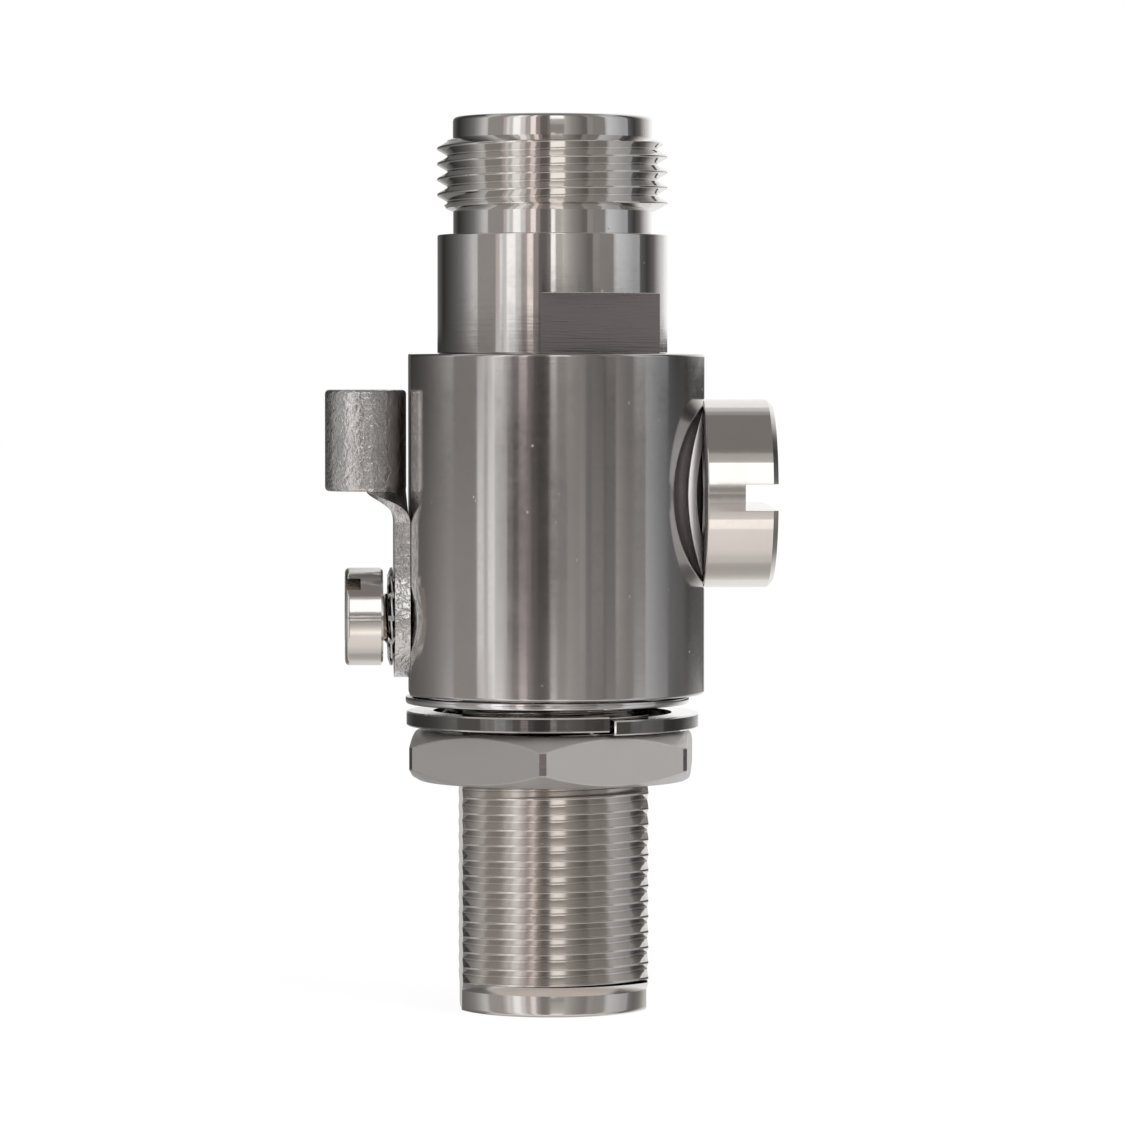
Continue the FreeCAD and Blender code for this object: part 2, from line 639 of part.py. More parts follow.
def make_ground_lug():
    """Wire lug pressed from sheet: eye and tongue against the flat, rolled barrel above."""
    blank = add_body("lug_blank")
    eye = add_sketch(blank, "eye_outline", "YZ_Plane", f"-{LUG_OUTER}")
    draw_circle(eye, size("lug_eye_radius"), ("0", LUG_AXIS))
    padded(blank, "eye", eye, size("lug_sheet"))
    tongue = add_sketch(blank, "tongue_outline", "YZ_Plane", f"-{LUG_OUTER}")
    wide, narrow = size("lug_eye_radius"), size("lug_tongue_half_width")
    draw_outline(tongue, [
        (f"-{wide}", LUG_AXIS),
        (wide, LUG_AXIS),
        (narrow, TONGUE_TOP),
        (f"-{narrow}", TONGUE_TOP),
    ])
    padded(blank, "tongue", tongue, size("lug_sheet"))
    bored(blank, "eye_hole", size("lug_hole_radius"), total(size("lug_sheet"), MARGIN),
          (f"-{less(LUG_INNER, half(MARGIN))}", "0", LUG_AXIS), ALONG_MINUS_X)
    barrel = add_body("lug_barrel")
    sketch = add_sketch(barrel, "barrel_outline", "XY_Plane", WIRE_BARREL_BOTTOM)
    for radius in ("wire_barrel_radius", "wire_barrel_bore"):
        draw_circle(sketch, size(radius), (f"-{WIRE_BARREL_OFFSET}", "0"))
    padded(barrel, "wire_barrel", sketch, size("wire_barrel_length"))
    curl = doc.addObject("Part::Feature", "lug_curl")
    curl.Shape = curl_shape()
    lug = doc.addObject("Part::MultiFuse", "ground_lug")
    lug.Label = "ground_lug"
    lug.Shapes = [blank, curl, barrel]
    doc.recompute()
    return lug


def square_wire(near, far, side, height):
    """Rectangle across the tongue at one height, for a loft."""
    corners = [Vector(near, -side, height), Vector(near, side, height),
               Vector(far, side, height), Vector(far, -side, height)]
    return Part.makePolygon([*corners, corners[0]])


def round_wire(axis, radius, height):
    """Circle at one height in four arcs that meet a rectangle's corners, for a loft."""
    def rim(eighths):
        angle = math.tau * eighths / 8
        return Vector(axis + radius * math.cos(angle), radius * math.sin(angle), height)
    return Part.Wire([Part.Arc(rim(first), rim(first + 1), rim(first + 2)).toShape()
                      for first in range(-1, 7, 2)])


def curl_shape():
    """Scoop of sheet that runs from the flat tongue to the inner half of the barrel."""
    inner, outer = value(LUG_INNER), value(LUG_OUTER)
    side, bottom = value(size("lug_tongue_half_width")), value(TONGUE_TOP)
    axis, top = value(WIRE_BARREL_OFFSET), value(WIRE_BARREL_BOTTOM)
    width = 2 * axis
    solid = Part.makeLoft([square_wire(-inner, -inner - width, side, bottom),
                           round_wire(-axis, value(size("wire_barrel_radius")), top)],
                          True, True)
    hollow = Part.makeLoft([square_wire(-outer, -outer - width, side - outer + inner, bottom),
                            round_wire(-axis, value(size("wire_barrel_bore")), top)],
                           True, True)
    dip = value(size("curl_hollow"))
    clear = -side - MARGIN
    start, finish = Vector(-axis, clear, top), Vector(-outer, clear, bottom)
    lowest = (start + finish) / 2 + Vector(dip, 0, dip)
    corner, above = Vector(0, clear, bottom), Vector(0, clear, top)
    keep = Part.Face(Part.Wire([Part.Arc(start, lowest, finish).toShape(),
                                Part.makeLine(finish, corner), Part.makeLine(corner, above),
                                Part.makeLine(above, start)]))
    return solid.cut(hollow).common(keep.extrude(Vector(0, -2 * clear, 0)))


def make_lug_tooth_washer():
    """Toothed washer between the lug and the screw head."""
    body = add_body("lug_tooth_washer", turn=ALONG_MINUS_X, height=LUG_AXIS)
    ring(body, "washer_ring", total(size("screw_thread_radius"), size("screw_edge")),
         size("tooth_washer_radius"), TOOTH_INNER, TOOTH_OUTER)
    sketch = add_sketch(body, "gap_outline", "XY_Plane", TOOTH_INNER)
    side = half(size("tooth_gap"))
    near = less(size("tooth_washer_radius"), size("tooth_gap_depth"))
    far = total(size("tooth_washer_radius"), MARGIN)
    draw_outline(sketch, [(near, f"-{side}"), (far, f"-{side}"), (far, side), (near, side)])
    gap = body.newObject("PartDesign::Pocket", "tooth_gap")
    gap.Profile = sketch
    gap.Reversed = True
    gap.setExpression("Length", size("tooth_washer_sheet"))
    body.Tip = gap
    doc.recompute()
    return repeated(body, gap, "tooth_gaps", int(page.get("tooth_count")), 360)


def make_lug_screw():
    """Slotted cheese-head screw."""
    body = add_body("lug_screw", turn=ALONG_MINUS_X, height=LUG_AXIS)
    tip = less(LUG_FLAT, size("screw_reach"))
    face = total(SCREW_SEAT, size("screw_head_length"))
    turned(body, "turned_screw", [
        ("0", tip),
        (less(size("screw_thread_radius"), size("screw_edge")), tip),
        (size("screw_thread_radius"), total(tip, size("screw_edge"))),
        (size("screw_thread_radius"), SCREW_SEAT),
        (size("screw_head_radius"), SCREW_SEAT),
        (size("screw_head_radius"), less(face, size("screw_edge"))),
        (less(size("screw_head_radius"), size("screw_edge")), face),
        ("0", face),
    ])
    slot_across(body, "driver_slot", size("screw_slot_width"), size("screw_slot_depth"), face,
                total(size("screw_head_radius"), MARGIN), size("screw_slot_turn"))
    return body


def make_bulkhead_nut():
    """Hex nut with both faces chamfered."""
    body = add_body("bulkhead_nut", turn_z=size("nut_corner_turn"))
    blank = body.newObject("PartDesign::AdditivePrism", "hexagon")
    blank.Polygon = 6
    blank.setExpression("Circumradius", f"{NUT_FLAT} / cos(180 / 6)")
    blank.setExpression("Height", size("nut_thickness"))
    blank.setExpression("Placement.Base.z", NUT_BOTTOM)
    body.Tip = blank
    doc.recompute()
    face_radius = less(NUT_FLAT, size("nut_face_inset"))
    corner = total(NUT_FLAT, NUT_FLAT)
    fall = f"({less(corner, face_radius)} * tan({size('nut_chamfer_angle')}))"
    for name, face, drop in (("upper_chamfer", NUT_TOP, less(NUT_TOP, fall)),
                             ("lower_chamfer", NUT_BOTTOM, total(NUT_BOTTOM, fall))):
        turned(body, name, [(face_radius, face), (corner, drop), (corner, face)],
               kind="Groove")
    bored(body, "nut_bore", NUT_BORE, size("nut_thickness"), ("0", "0", NUT_BOTTOM))
    return body


def make_bulkhead_washers():
    """Split lock washer, one end higher than the other, and the flat washer above it."""
    lock = add_body("bulkhead_lock_washer", turn_z=size("lock_washer_turn"))
    sketch = add_sketch(lock, "lock_section", "XZ_Plane")
    rim = total(LOCK_WASHER_HOLE, size("lock_washer_width"))
    draw_outline(sketch, [
        (LOCK_WASHER_HOLE, LOCK_WASHER_BOTTOM),
        (rim, LOCK_WASHER_BOTTOM),
        (rim, LOCK_WASHER_TOP),
        (LOCK_WASHER_HOLE, LOCK_WASHER_TOP),
    ])
    coil = lock.newObject("PartDesign::AdditiveHelix", "one_turn")
    coil.Profile = sketch
    coil.ReferenceAxis = (sketch, ["V_Axis"])
    coil.Mode = "height-turns-growth"
    coil.setExpression("Height", size("lock_washer_rise"))
    coil.setExpression("Turns", f"1 - {size('lock_washer_split')} / 360")
    coil.Growth = 0
    lock.Tip = coil
    doc.recompute()
    flat = add_body("bulkhead_flat_washer")
    flat.setExpression("Placement.Base.x", f"-{size('flat_washer_shift')}")
    ring(flat, "flat_ring", FLAT_WASHER_HOLE, total(FLAT_WASHER_HOLE, size("flat_washer_width")),
         FLAT_WASHER_BOTTOM, FLAT_WASHER_TOP)
    return [lock, flat]


def make_pieces():
    """Make every piece of the arrestor."""
    seal_radius = total(size("spigot_radius"), size("gasket_section"), size("gasket_room"))
    seal_height = less(BODY_TOP, size("gasket_section"))
    cap_seal_radius = less(size("port_radius"), size("running_gap"), size("cap_seal_section"))
    cap_seal_place = less(CAP_UNDERSIDE, size("gasket_room"), size("cap_seal_section"))
    far_end = less(SHELL_TOP, size("contact_recess"))
    return [
        make_main_body(),
        make_upper_jack_shell(),
        make_seal("shell_seal", seal_radius, size("gasket_section"), seal_height),
        make_insulator("lower_insulator", BEAD_SHOULDER),
        make_insulator("upper_insulator", less(SHELL_TOP, STACK)),
        make_centre_conductor(),
        make_contact("lower_contact", size("contact_recess"), None),
        make_contact("upper_contact", far_end, Rotation(Vector(1, 0, 0), 180)),
        *make_capsule(),
        make_capsule_spring(),
        make_port_cap(),
        make_seal("cap_seal", cap_seal_radius, size("cap_seal_section"), cap_seal_place,
                  turn=ALONG_X, axis_height=PORT_AXIS),
        make_ground_lug(),
        make_lug_tooth_washer(),
        make_lug_screw(),
        make_bulkhead_nut(),
        *make_bulkhead_washers(),
        make_seal("panel_gasket", GASKET_RADIUS, size("gasket_section"),
                  total(UNDERSIDE, size("gasket_section"))),
    ]


def check(pieces):
    """Stop before anything is written if an object failed or a piece is not one sound solid."""
    doc.recompute()
    failed = [item.Label for item in doc.Objects
              if "Invalid" in item.State or "Error" in item.State]
    if failed:
        raise RuntimeError(f"failed: {failed}")
    for piece in pieces:
        shape = piece.Shape
        if shape.isNull() or not shape.isValid() or len(shape.Solids) != 1:
            raise RuntimeError(f"{piece.Label} is not one valid solid")


def export(pieces):
    """Write each piece to its own file."""
    os.makedirs("parts", exist_ok=True)
    for piece in pieces:
        piece.Shape.exportStep(os.path.join("parts", f"{piece.Label}.step"))
        bounds = piece.Shape.BoundBox
        print(f"{piece.Label:26s} volume {piece.Shape.Volume:9.2f}  "
              f"x {bounds.XMin:7.2f} {bounds.XMax:7.2f}  y {bounds.YMin:7.2f} {bounds.YMax:7.2f}"
              f"  z {bounds.ZMin:7.2f} {bounds.ZMax:7.2f}")


pieces = make_pieces()
check(pieces)
export(pieces)
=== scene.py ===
"""Coaxial lightning arrestor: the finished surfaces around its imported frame.

Shapes are worked in millimetres and finished in metres. The main axis is Z, the slotted
cap points along +X and the wire lug sits on -X. Places come from the frame's own pieces,
and each class adds the detail that its pieces have in the hand.
"""
import json
import logging
import math
from collections.abc import Callable, Sequence
from dataclasses import dataclass
from enum import Enum

import bmesh
import bpy
from mathutils import Matrix, Vector

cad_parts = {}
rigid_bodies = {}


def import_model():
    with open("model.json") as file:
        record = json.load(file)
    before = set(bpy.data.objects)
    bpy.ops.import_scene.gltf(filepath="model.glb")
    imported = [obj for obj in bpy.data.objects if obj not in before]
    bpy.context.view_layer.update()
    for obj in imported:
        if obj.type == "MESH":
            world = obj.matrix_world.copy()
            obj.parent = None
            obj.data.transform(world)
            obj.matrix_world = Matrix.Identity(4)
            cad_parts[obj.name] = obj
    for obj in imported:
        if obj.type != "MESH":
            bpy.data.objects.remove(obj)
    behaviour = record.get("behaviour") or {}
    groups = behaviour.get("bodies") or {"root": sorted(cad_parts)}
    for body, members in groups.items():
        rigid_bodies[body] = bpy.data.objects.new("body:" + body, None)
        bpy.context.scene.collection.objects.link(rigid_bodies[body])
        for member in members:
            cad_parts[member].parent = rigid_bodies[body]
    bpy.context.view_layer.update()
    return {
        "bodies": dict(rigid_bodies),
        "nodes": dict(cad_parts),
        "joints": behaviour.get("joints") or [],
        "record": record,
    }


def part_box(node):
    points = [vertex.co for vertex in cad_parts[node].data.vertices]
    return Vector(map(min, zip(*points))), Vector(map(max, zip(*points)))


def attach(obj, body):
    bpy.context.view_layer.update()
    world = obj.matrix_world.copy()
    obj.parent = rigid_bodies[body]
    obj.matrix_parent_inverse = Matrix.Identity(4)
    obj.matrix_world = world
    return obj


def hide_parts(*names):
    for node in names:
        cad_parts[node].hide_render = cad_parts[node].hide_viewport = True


LOG = logging.getLogger("arrestor")
MM = 0.001
WELD = 1e-4
SEGMENTS = 192
# Gap between surfaces that would lie in each other, and how near counts as touching.
SLACK = 0.02
HAIR = 0.01
Outline = Sequence[tuple[float, float]]
Edges = list[bmesh.types.BMEdge]


class Turned(Enum):
    """Axis that a piece is turned about, as degrees about Y from upright."""

    UPRIGHT = 0.0
    PORT = 90.0
    LUG = -90.0


class Grain(Enum):
    """What a finish has on its surface."""

    PLAIN = "plain"
    TURNED = "turned"
    CRINKLED = "crinkled"
    MOULDED = "moulded"
    MILLED = "milled"


class Joining(Enum):
    """How two shapes are combined."""

    CUT = "DIFFERENCE"
    KEEP = "INTERSECT"


@dataclass(frozen=True)
class Span:
    """Box of a frame piece in millimetres."""

    low: Vector
    high: Vector

    @property
    def middle(self) -> Vector:
        """Centre of the box."""
        return (self.low + self.high) / 2

    @classmethod
    def of(cls, node: str) -> "Span":
        """Read a piece of the frame.

        Args:
            node: The piece's name.

        Returns:
            Its box in millimetres.
        """
        low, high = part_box(node)
        return cls(Vector(low) / MM, Vector(high) / MM)


class Value:
    """A number on a node's output that Python arithmetic can be written on."""

    def __init__(self, nodes: "Nodes", socket: bpy.types.NodeSocket) -> None:
        """Keep the socket and the tree that it is in."""
        self.nodes = nodes
        self.socket = socket

    def _math(self, operation: str, first: object, second: object = 0.0) -> "Value":
        """Add one Math node and return its result.

        Args:
            operation: The node's operation.
            first: First value or link.
            second: Second value or link.

        Returns:
            The node's result.
        """
        made = self.nodes.add("ShaderNodeMath", {"operation": operation},
                              {0: first, 1: second})
        return Value(self.nodes, made.outputs[0])

    def __add__(self, other: object) -> "Value":
        """Sum."""
        return self._math("ADD", self, other)

    __radd__ = __add__

    def __sub__(self, other: object) -> "Value":
        """Difference."""
        return self._math("SUBTRACT", self, other)

    def __rsub__(self, other: object) -> "Value":
        """Difference the other way round."""
        return self._math("SUBTRACT", other, self)

    def __mul__(self, other: object) -> "Value":
        """Product."""
        return self._math("MULTIPLY", self, other)

    __rmul__ = __mul__

    def __pow__(self, other: object) -> "Value":
        """Power."""
        return self._math("POWER", self, other)

    def size(self) -> "Value":
        """Value without its sign."""
        return self._math("ABSOLUTE", self)

    def turn_from(self, other: "Value") -> "Value":
        """Angle of the point (other, self) in radians."""
        return self._math("ARCTAN2", self, other)

    def eased(self, start: float, end: float) -> "Value":
        """Ease from 0 at start to 1 at end.

        Args:
            start: Value at which the result is 0.
            end: Value at which the result is 1.

        Returns:
            The eased value.
        """
        made = self.nodes.add("ShaderNodeMapRange", {"interpolation_type": "SMOOTHSTEP"},
                              {"Value": self, "From Min": start, "From Max": end})
        return Value(self.nodes, made.outputs[0])


class Nodes:
    """A node tree that is filled by one method."""

    def __init__(self, tree: bpy.types.NodeTree) -> None:
        """Empty the tree."""
        self.tree = tree
        tree.nodes.clear()

    def add(self, kind: str, settings: dict | None = None,
            inputs: dict | None = None) -> bpy.types.Node:
        """Add a node.

        Args:
            kind: The node's type.
            settings: Its own settings, set first; stops are (place, colour) of a ramp.
            inputs: Values or links of its sockets, by name or number.

        Returns:
            The node.
        """
        node = self.tree.nodes.new(kind)
        for name, value in (settings or {}).items():
            if name == "stops":
                self._set_stops(node.color_ramp, value)
            else:
                setattr(node, name, value)
        for name, value in (inputs or {}).items():
            self._feed(node.inputs[name], value)
        return node

    def _feed(self, socket: bpy.types.NodeSocket, value: object) -> None:
        """Link a socket or set its value.

        Args:
            socket: The input.
            value: What it is given.
        """
        if isinstance(value, Value):
            value = value.socket
        if isinstance(value, bpy.types.NodeSocket):
            self.tree.links.new(value, socket)
        else:
            socket.default_value = value

    @staticmethod
    def _set_stops(ramp: bpy.types.ColorRamp, stops: Sequence) -> None:
        """Give a ramp its stops, in order.

        Args:
            ramp: The ramp.
            stops: Pairs of place and colour.
        """
        ramp.interpolation = "LINEAR"
        ramp.elements.remove(ramp.elements[-1])
        for number, (place, colour) in enumerate(stops):
            stop = ramp.elements[0] if number == 0 else ramp.elements.new(place)
            stop.position = place
            stop.color = (*colour, 1.0)

    def value(self, node: bpy.types.Node, output: int | str = 0) -> Value:
        """Wrap one output of a node."""
        return Value(self, node.outputs[output])

    def mix(self, share: object, first: object, second: object) -> bpy.types.NodeSocket:
        """Mix two colours.

        Args:
            share: How much of the second colour shows.
            first: Colour or link.
            second: Colour or link.

        Returns:
            The mixed colour's socket.
        """
        made = self.add("ShaderNodeMix", {"data_type": "RGBA"}, {0: share, 6: first, 7: second})
        return made.outputs[2]


@dataclass(frozen=True)
class Finish:
    """A surface finish, which makes its own material."""

    name: str
    slot: str
    colour: tuple[float, float, float]
    roughness: float
    metallic: float = 1.0
    grain: Grain = Grain.PLAIN
    turned: Turned = Turned.UPRIGHT
    streaks: float = 0.0
    wobble: float = 0.0
    wobble_scale: float = 0.6
    nicks: float = 0.0
    stain: float = 0.06
    stain_colour: tuple[float, float, float] = (0.42, 0.36, 0.31)
    anisotropy: float = 0.0
    # seat: a pale matt oval round the port that is a painted reflection of the cap, with a black
    # oval inside it that is a painted shadow. It holds the height, half height and half width of
    # the first, then the half height and half width of the second.
    seat: tuple[float, float, float, float, float] | None = None
    painted_reflection_colour: tuple[float, float, float, float] = (0.86, 0.81, 0.82, 1.0)
    shadow_colour: tuple[float, float, float, float] = (0.004, 0.003, 0.003, 1.0)
    clouds: float = 0.35
    specks: float = 2.6

    def material(self) -> bpy.types.Material:
        """Make the material, or return it if it is made.

        Returns:
            The material.
        """
        label = f"{self.name}_finish"
        known = bpy.data.materials.get(label)
        if known is not None:
            return known
        material = bpy.data.materials.new(label)
        material.use_nodes = True
        nodes = Nodes(material.node_tree)
        place, along, radial, angle = self._coordinates(nodes)
        height = self._height(nodes, place, along, radial, angle)
        cloud = self._noise(nodes, place, self.clouds, 4.0)
        speck = self._noise(nodes, place, self.specks, 3.0)
        stained = (cloud * 0.7 + speck * 0.3).eased(0.42, 0.72) * self.stain
        colour = nodes.mix(stained, (*self.colour, 1.0), (*self.stain_colour, 1.0))
        metallic: object = self.metallic
        rough = (cloud - 0.5) * 0.08 + (speck - 0.5) * 0.05 + self.roughness
        # Round the port the colour turns pale and matt as a painted reflection of the cap, then
        # black as a painted shadow under it.
        if self.seat is not None:
            painted_reflection, painted_shadow = self._painted_reflection_and_shadow(nodes, place)
            colour = nodes.mix(painted_reflection, colour, self.painted_reflection_colour)
            colour = nodes.mix(painted_shadow, colour, self.shadow_colour)
            metallic = 1.0 - painted_reflection
            rough = rough + painted_reflection * 0.7
        bump = nodes.add("ShaderNodeBump", inputs={"Strength": 1.0, "Distance": MM,
                                                   "Height": height})
        shader = nodes.add("ShaderNodeBsdfPrincipled", inputs={
            "Base Color": colour,
            "Metallic": metallic,
            "Roughness": rough,
            "Anisotropic": self.anisotropy,
            "Anisotropic Rotation": 0.25,
            "Normal": bump.outputs[0],
        })
        nodes.add("ShaderNodeOutputMaterial", inputs={0: shader.outputs[0]})
        return material

    def _coordinates(self, nodes: Nodes) -> tuple[bpy.types.NodeSocket, Value, Value, Value]:
        """Place in millimetres, and height, radius and angle about Z or about X.

        Args:
            nodes: The material's nodes.

        Returns:
            Socket of the place, then height, radius and angle.
        """
        source = nodes.add("ShaderNodeTexCoord").outputs["Object"]
        place = nodes.add("ShaderNodeMapping", {"vector_type": "POINT"}, {
            "Vector": source, "Scale": (1 / MM,) * 3})
        parts = nodes.add("ShaderNodeSeparateXYZ", inputs={0: place.outputs[0]})
        x, y, z = (nodes.value(parts, number) for number in range(3))
        along, across = (z, x) if self.turned is Turned.UPRIGHT else (x, z)
        radial = (across * across + y * y) ** 0.5
        return place.outputs[0], along, radial, y.turn_from(across)

    def _painted_reflection_and_shadow(self, nodes: Nodes, place: object) -> tuple[Value, Value]:
        """Shares of a pale matt oval under the cap, a painted reflection of the cap, and of a black
        oval in it, a painted shadow; both on the +X side.

        Args:
            nodes: The material's nodes.
            place: Socket of the place in millimetres.

        Returns:
            Share of the painted reflection and share of the painted shadow.
        """
        height, tall, wide, shadow_tall, shadow_wide = self.seat
        parts = nodes.add("ShaderNodeSeparateXYZ", inputs={0: place})
        x, y, z = (nodes.value(parts, number) for number in range(3))
        side = x.eased(7.0, 7.2)

        def oval(half_height: float, half_width: float) -> Value:
            """Share inside an oval.

            Args:
                half_height: Half its height in millimetres.
                half_width: Half its width in millimetres.

            Returns:
                1 inside and 0 outside.
            """
            up = (z - height) * (1 / half_height)
            across = y * (1 / half_width)
            return (up * up + across * across).eased(1.02, 0.96) * side

        return oval(tall, wide), oval(shadow_tall, shadow_wide)

    @staticmethod
    def _noise(nodes: Nodes, place: object, scale: float, detail: float) -> Value:
        """Soft noise about 0.5, with a number of features per millimetre.

        Args:
            nodes: The material's nodes.
            place: Socket of the place in millimetres.
            scale: Features per millimetre.
            detail: Finer layers that are added.

        Returns:
            The noise.
        """
        made = nodes.add("ShaderNodeTexNoise", inputs={"Vector": place, "Scale": scale,
                                                       "Detail": detail})
        return nodes.value(made, "Fac" if "Fac" in made.outputs else 0)

    def _height(self, nodes: Nodes, place: object, along: Value, radial: Value,
                angle: Value) -> Value:
        """Relief of the surface in millimetres.

        Args:
            nodes: The material's nodes.
            place: Socket of the place in millimetres.
            along: Height along the piece's axis.
            radial: Distance from it.
            angle: Angle about it.

        Returns:
            The height.
        """
        height = self._noise(nodes, place, self.wobble_scale, 1.0) * self.wobble
        if self.grain is Grain.TURNED:
            for pitch, arc, share in ((3.0, 0.8, 0.6), (11.0, 2.5, 0.4)):
                lines = nodes.add("ShaderNodeCombineXYZ", inputs={
                    0: radial * pitch, 1: along * pitch, 2: angle * arc})
                height = height + self._noise(nodes, lines.outputs[0], 1.0, 2.0) * (
                    self.streaks * share)
        if self.grain is Grain.MILLED:
            lines = nodes.add("ShaderNodeVectorMath", {"operation": "MULTIPLY"},
                              {0: place, 1: (0.35, 0.35, 9.0)})
            height = height + self._noise(nodes, lines.outputs[0], 1.0, 2.0) * self.streaks
        if self.grain is Grain.CRINKLED:
            coarse = self._noise(nodes, place, 1.1, 2.0)
            fine = self._noise(nodes, place, 2.6, 3.0)
            height = height + (((coarse - 0.5).size() ** 0.6) * 0.7
                               + ((fine - 0.5).size() ** 0.6) * 0.3) * self.streaks
        if self.grain is Grain.MOULDED:
            height = height + self._noise(nodes, place, 6.0, 3.0) * self.streaks
        if self.nicks:
            pits = nodes.add("ShaderNodeTexVoronoi", inputs={"Vector": place, "Scale": 0.9})
            near = nodes.value(pits, "Distance").eased(0.09, 0.02)
            chosen = self._noise(nodes, place, 0.5, 2.0).eased(0.55, 0.6)
            height = height - near * chosen * self.nicks
        return height


# The drum's satin nickel carries the painted reflection and the painted shadow round the port
# (seat).
SATIN = Finish("satin_nickel", "satin_nickel", (0.64, 0.615, 0.60), 0.1,
               grain=Grain.TURNED, streaks=0.0005, wobble=0.0015, nicks=0.03, anisotropy=0.3,
               seat=(35.57, 6.4, 5.36, 3.3, 3.8))
THREAD = Finish("threaded_nickel", "satin_nickel", (0.74, 0.71, 0.68), 0.13,
                wobble=0.002, nicks=0.02)
BRIGHT = Finish("bright_nickel", "bright_nickel", (0.78, 0.755, 0.73), 0.07,
                grain=Grain.TURNED, streaks=0.0006, wobble=0.002, nicks=0.02)
# Milled flats: a rougher milled grain, with the nickel darkened to the flats' dark tone as painted
# shade.
MILLED = Finish("milled_painted_shade_nickel", "bright_nickel", (0.33, 0.295, 0.295), 0.38,
                grain=Grain.MILLED, streaks=0.05)
POLISHED = Finish("polished_nickel", "polished_nickel", (0.78, 0.75, 0.72), 0.11,
                  turned=Turned.PORT, wobble=0.0025, wobble_scale=1.4, nicks=0.03)
# Half-matt nickel of the nut; on the shell's wrench-top edges it paints a highlight.
WARM = Finish("warm_nickel", "warm_nickel", (0.35, 0.333, 0.32), 0.3, metallic=0.55,
              grain=Grain.MOULDED, streaks=0.0015, wobble=0.003, nicks=0.02)
# Darker copy of the polished nickel for the cap's underside: painted shade under the cap's head.
PAINTED_SHADE = Finish("painted_shade_nickel", "polished_nickel", (0.3, 0.29, 0.29), 0.45,
                turned=Turned.PORT, grain=Grain.MOULDED, streaks=0.001)
STEEL = Finish("spring_steel", "spring_steel", (0.8, 0.79, 0.78), 0.1,
               grain=Grain.TURNED, streaks=0.001, wobble=0.002)
# Split washer's edges: a darker copy of the spring steel, painted shade.
PAINTED_EDGE_SHADE = Finish("washer_edge_painted_shade", "spring_steel", (0.19, 0.183, 0.177), 0.06,
              grain=Grain.TURNED, streaks=0.001, wobble=0.003)
TIN = Finish("tinned_copper", "tinned_copper", (0.74, 0.735, 0.725), 0.2,
             grain=Grain.CRINKLED, streaks=0.12, wobble=0.02, wobble_scale=0.9, stain=0.3,
             stain_colour=(0.3, 0.29, 0.28))
BRASS = Finish("gold_brass", "gold_brass", (0.86, 0.62, 0.27), 0.2, grain=Grain.TURNED,
               streaks=0.001, wobble=0.002, stain_colour=(0.5, 0.32, 0.12))
PTFE = Finish("white_ptfe", "white_ptfe", (0.82, 0.81, 0.78), 0.42, metallic=0.0,
              grain=Grain.TURNED, streaks=0.003, stain_colour=(0.7, 0.68, 0.62))
CERAMIC = Finish("white_ceramic", "white_ceramic", (0.86, 0.85, 0.82), 0.3, metallic=0.0,
                 grain=Grain.MOULDED, streaks=0.001, stain_colour=(0.78, 0.75, 0.7))
ELECTRODE = Finish("electrode_steel", "electrode_steel", (0.6, 0.58, 0.55), 0.28,
                   grain=Grain.TURNED, turned=Turned.PORT, streaks=0.001)
RUBBER = Finish("black_rubber", "black_rubber", (0.012, 0.012, 0.012), 0.7, metallic=0.0,
                grain=Grain.MOULDED, streaks=0.004, stain_colour=(0.06, 0.06, 0.06))


@dataclass(frozen=True)
class Thread:
    """A right-hand screw thread with its ridge, ends and lead cones."""

    crest: float
    root: float
    pitch: float
    crest_height: float
    limits: tuple[tuple[float, float], ...]

    RIDGE = ((0.0, 0.0), (0.045, 0.015), (0.08, 0.06), (0.42, 0.95), (0.44, 0.985),
             (0.465, 1.0), (0.535, 1.0), (0.56, 0.985), (0.58, 0.95), (0.92, 0.06),
             (0.955, 0.015), (1.0, 0.0))

    def ridge(self) -> list[tuple[float, float]]:
        """Radius and height of one pitch, below where the thread starts.

        Returns:
            Points of one pitch, upwards.
        """
        below = math.ceil((self.crest_height - self.limits[0][0]) / self.pitch) + 2
        base = self.crest_height - (below + 0.5) * self.pitch
        depth = self.crest - self.root
        return [(self.root + depth * rise, base + share * self.pitch)
                for share, rise in self.RIDGE]

    def turns(self) -> int:
        """Whole turns that cover the thread and reach past both ends."""
        return math.ceil((self.limits[-1][0] - self.limits[0][0]) / self.pitch) + 4

    def most(self, height: float) -> float:
        """Largest radius that the thread may have at a height.

        Args:
            height: Height in millimetres.

        Returns:
            The radius.
        """
        for (low, first), (high, second) in zip(self.limits, self.limits[1:]):
            if height <= high:
                return first + (second - first) * (height - low) / (high - low)
        return self.limits[-1][1]


def rounded(radius: float, height: float, edge: float, up: int, out: int,
            steps: int = 3) -> list[tuple[float, float]]:
    """Arc of an outline's rounded corner.

    Args:
        radius: Radius of the corner before it is rounded.
        height: Height of the corner.
        edge: Radius of the rounding.
        up: 1 for a corner at an upper end, -1 at a lower one.
        out: 1 where the corner faces away from the axis, -1 towards it.
        steps: Flats along the arc.

    Returns:
        Points from the side of the corner to its end face.
    """
    centre = (radius - out * edge, height - up * edge)
    angles = [math.pi / 2 * step / steps for step in range(steps + 1)]
    return [(centre[0] + out * edge * math.cos(angle), centre[1] + up * edge * math.sin(angle))
            for angle in angles]


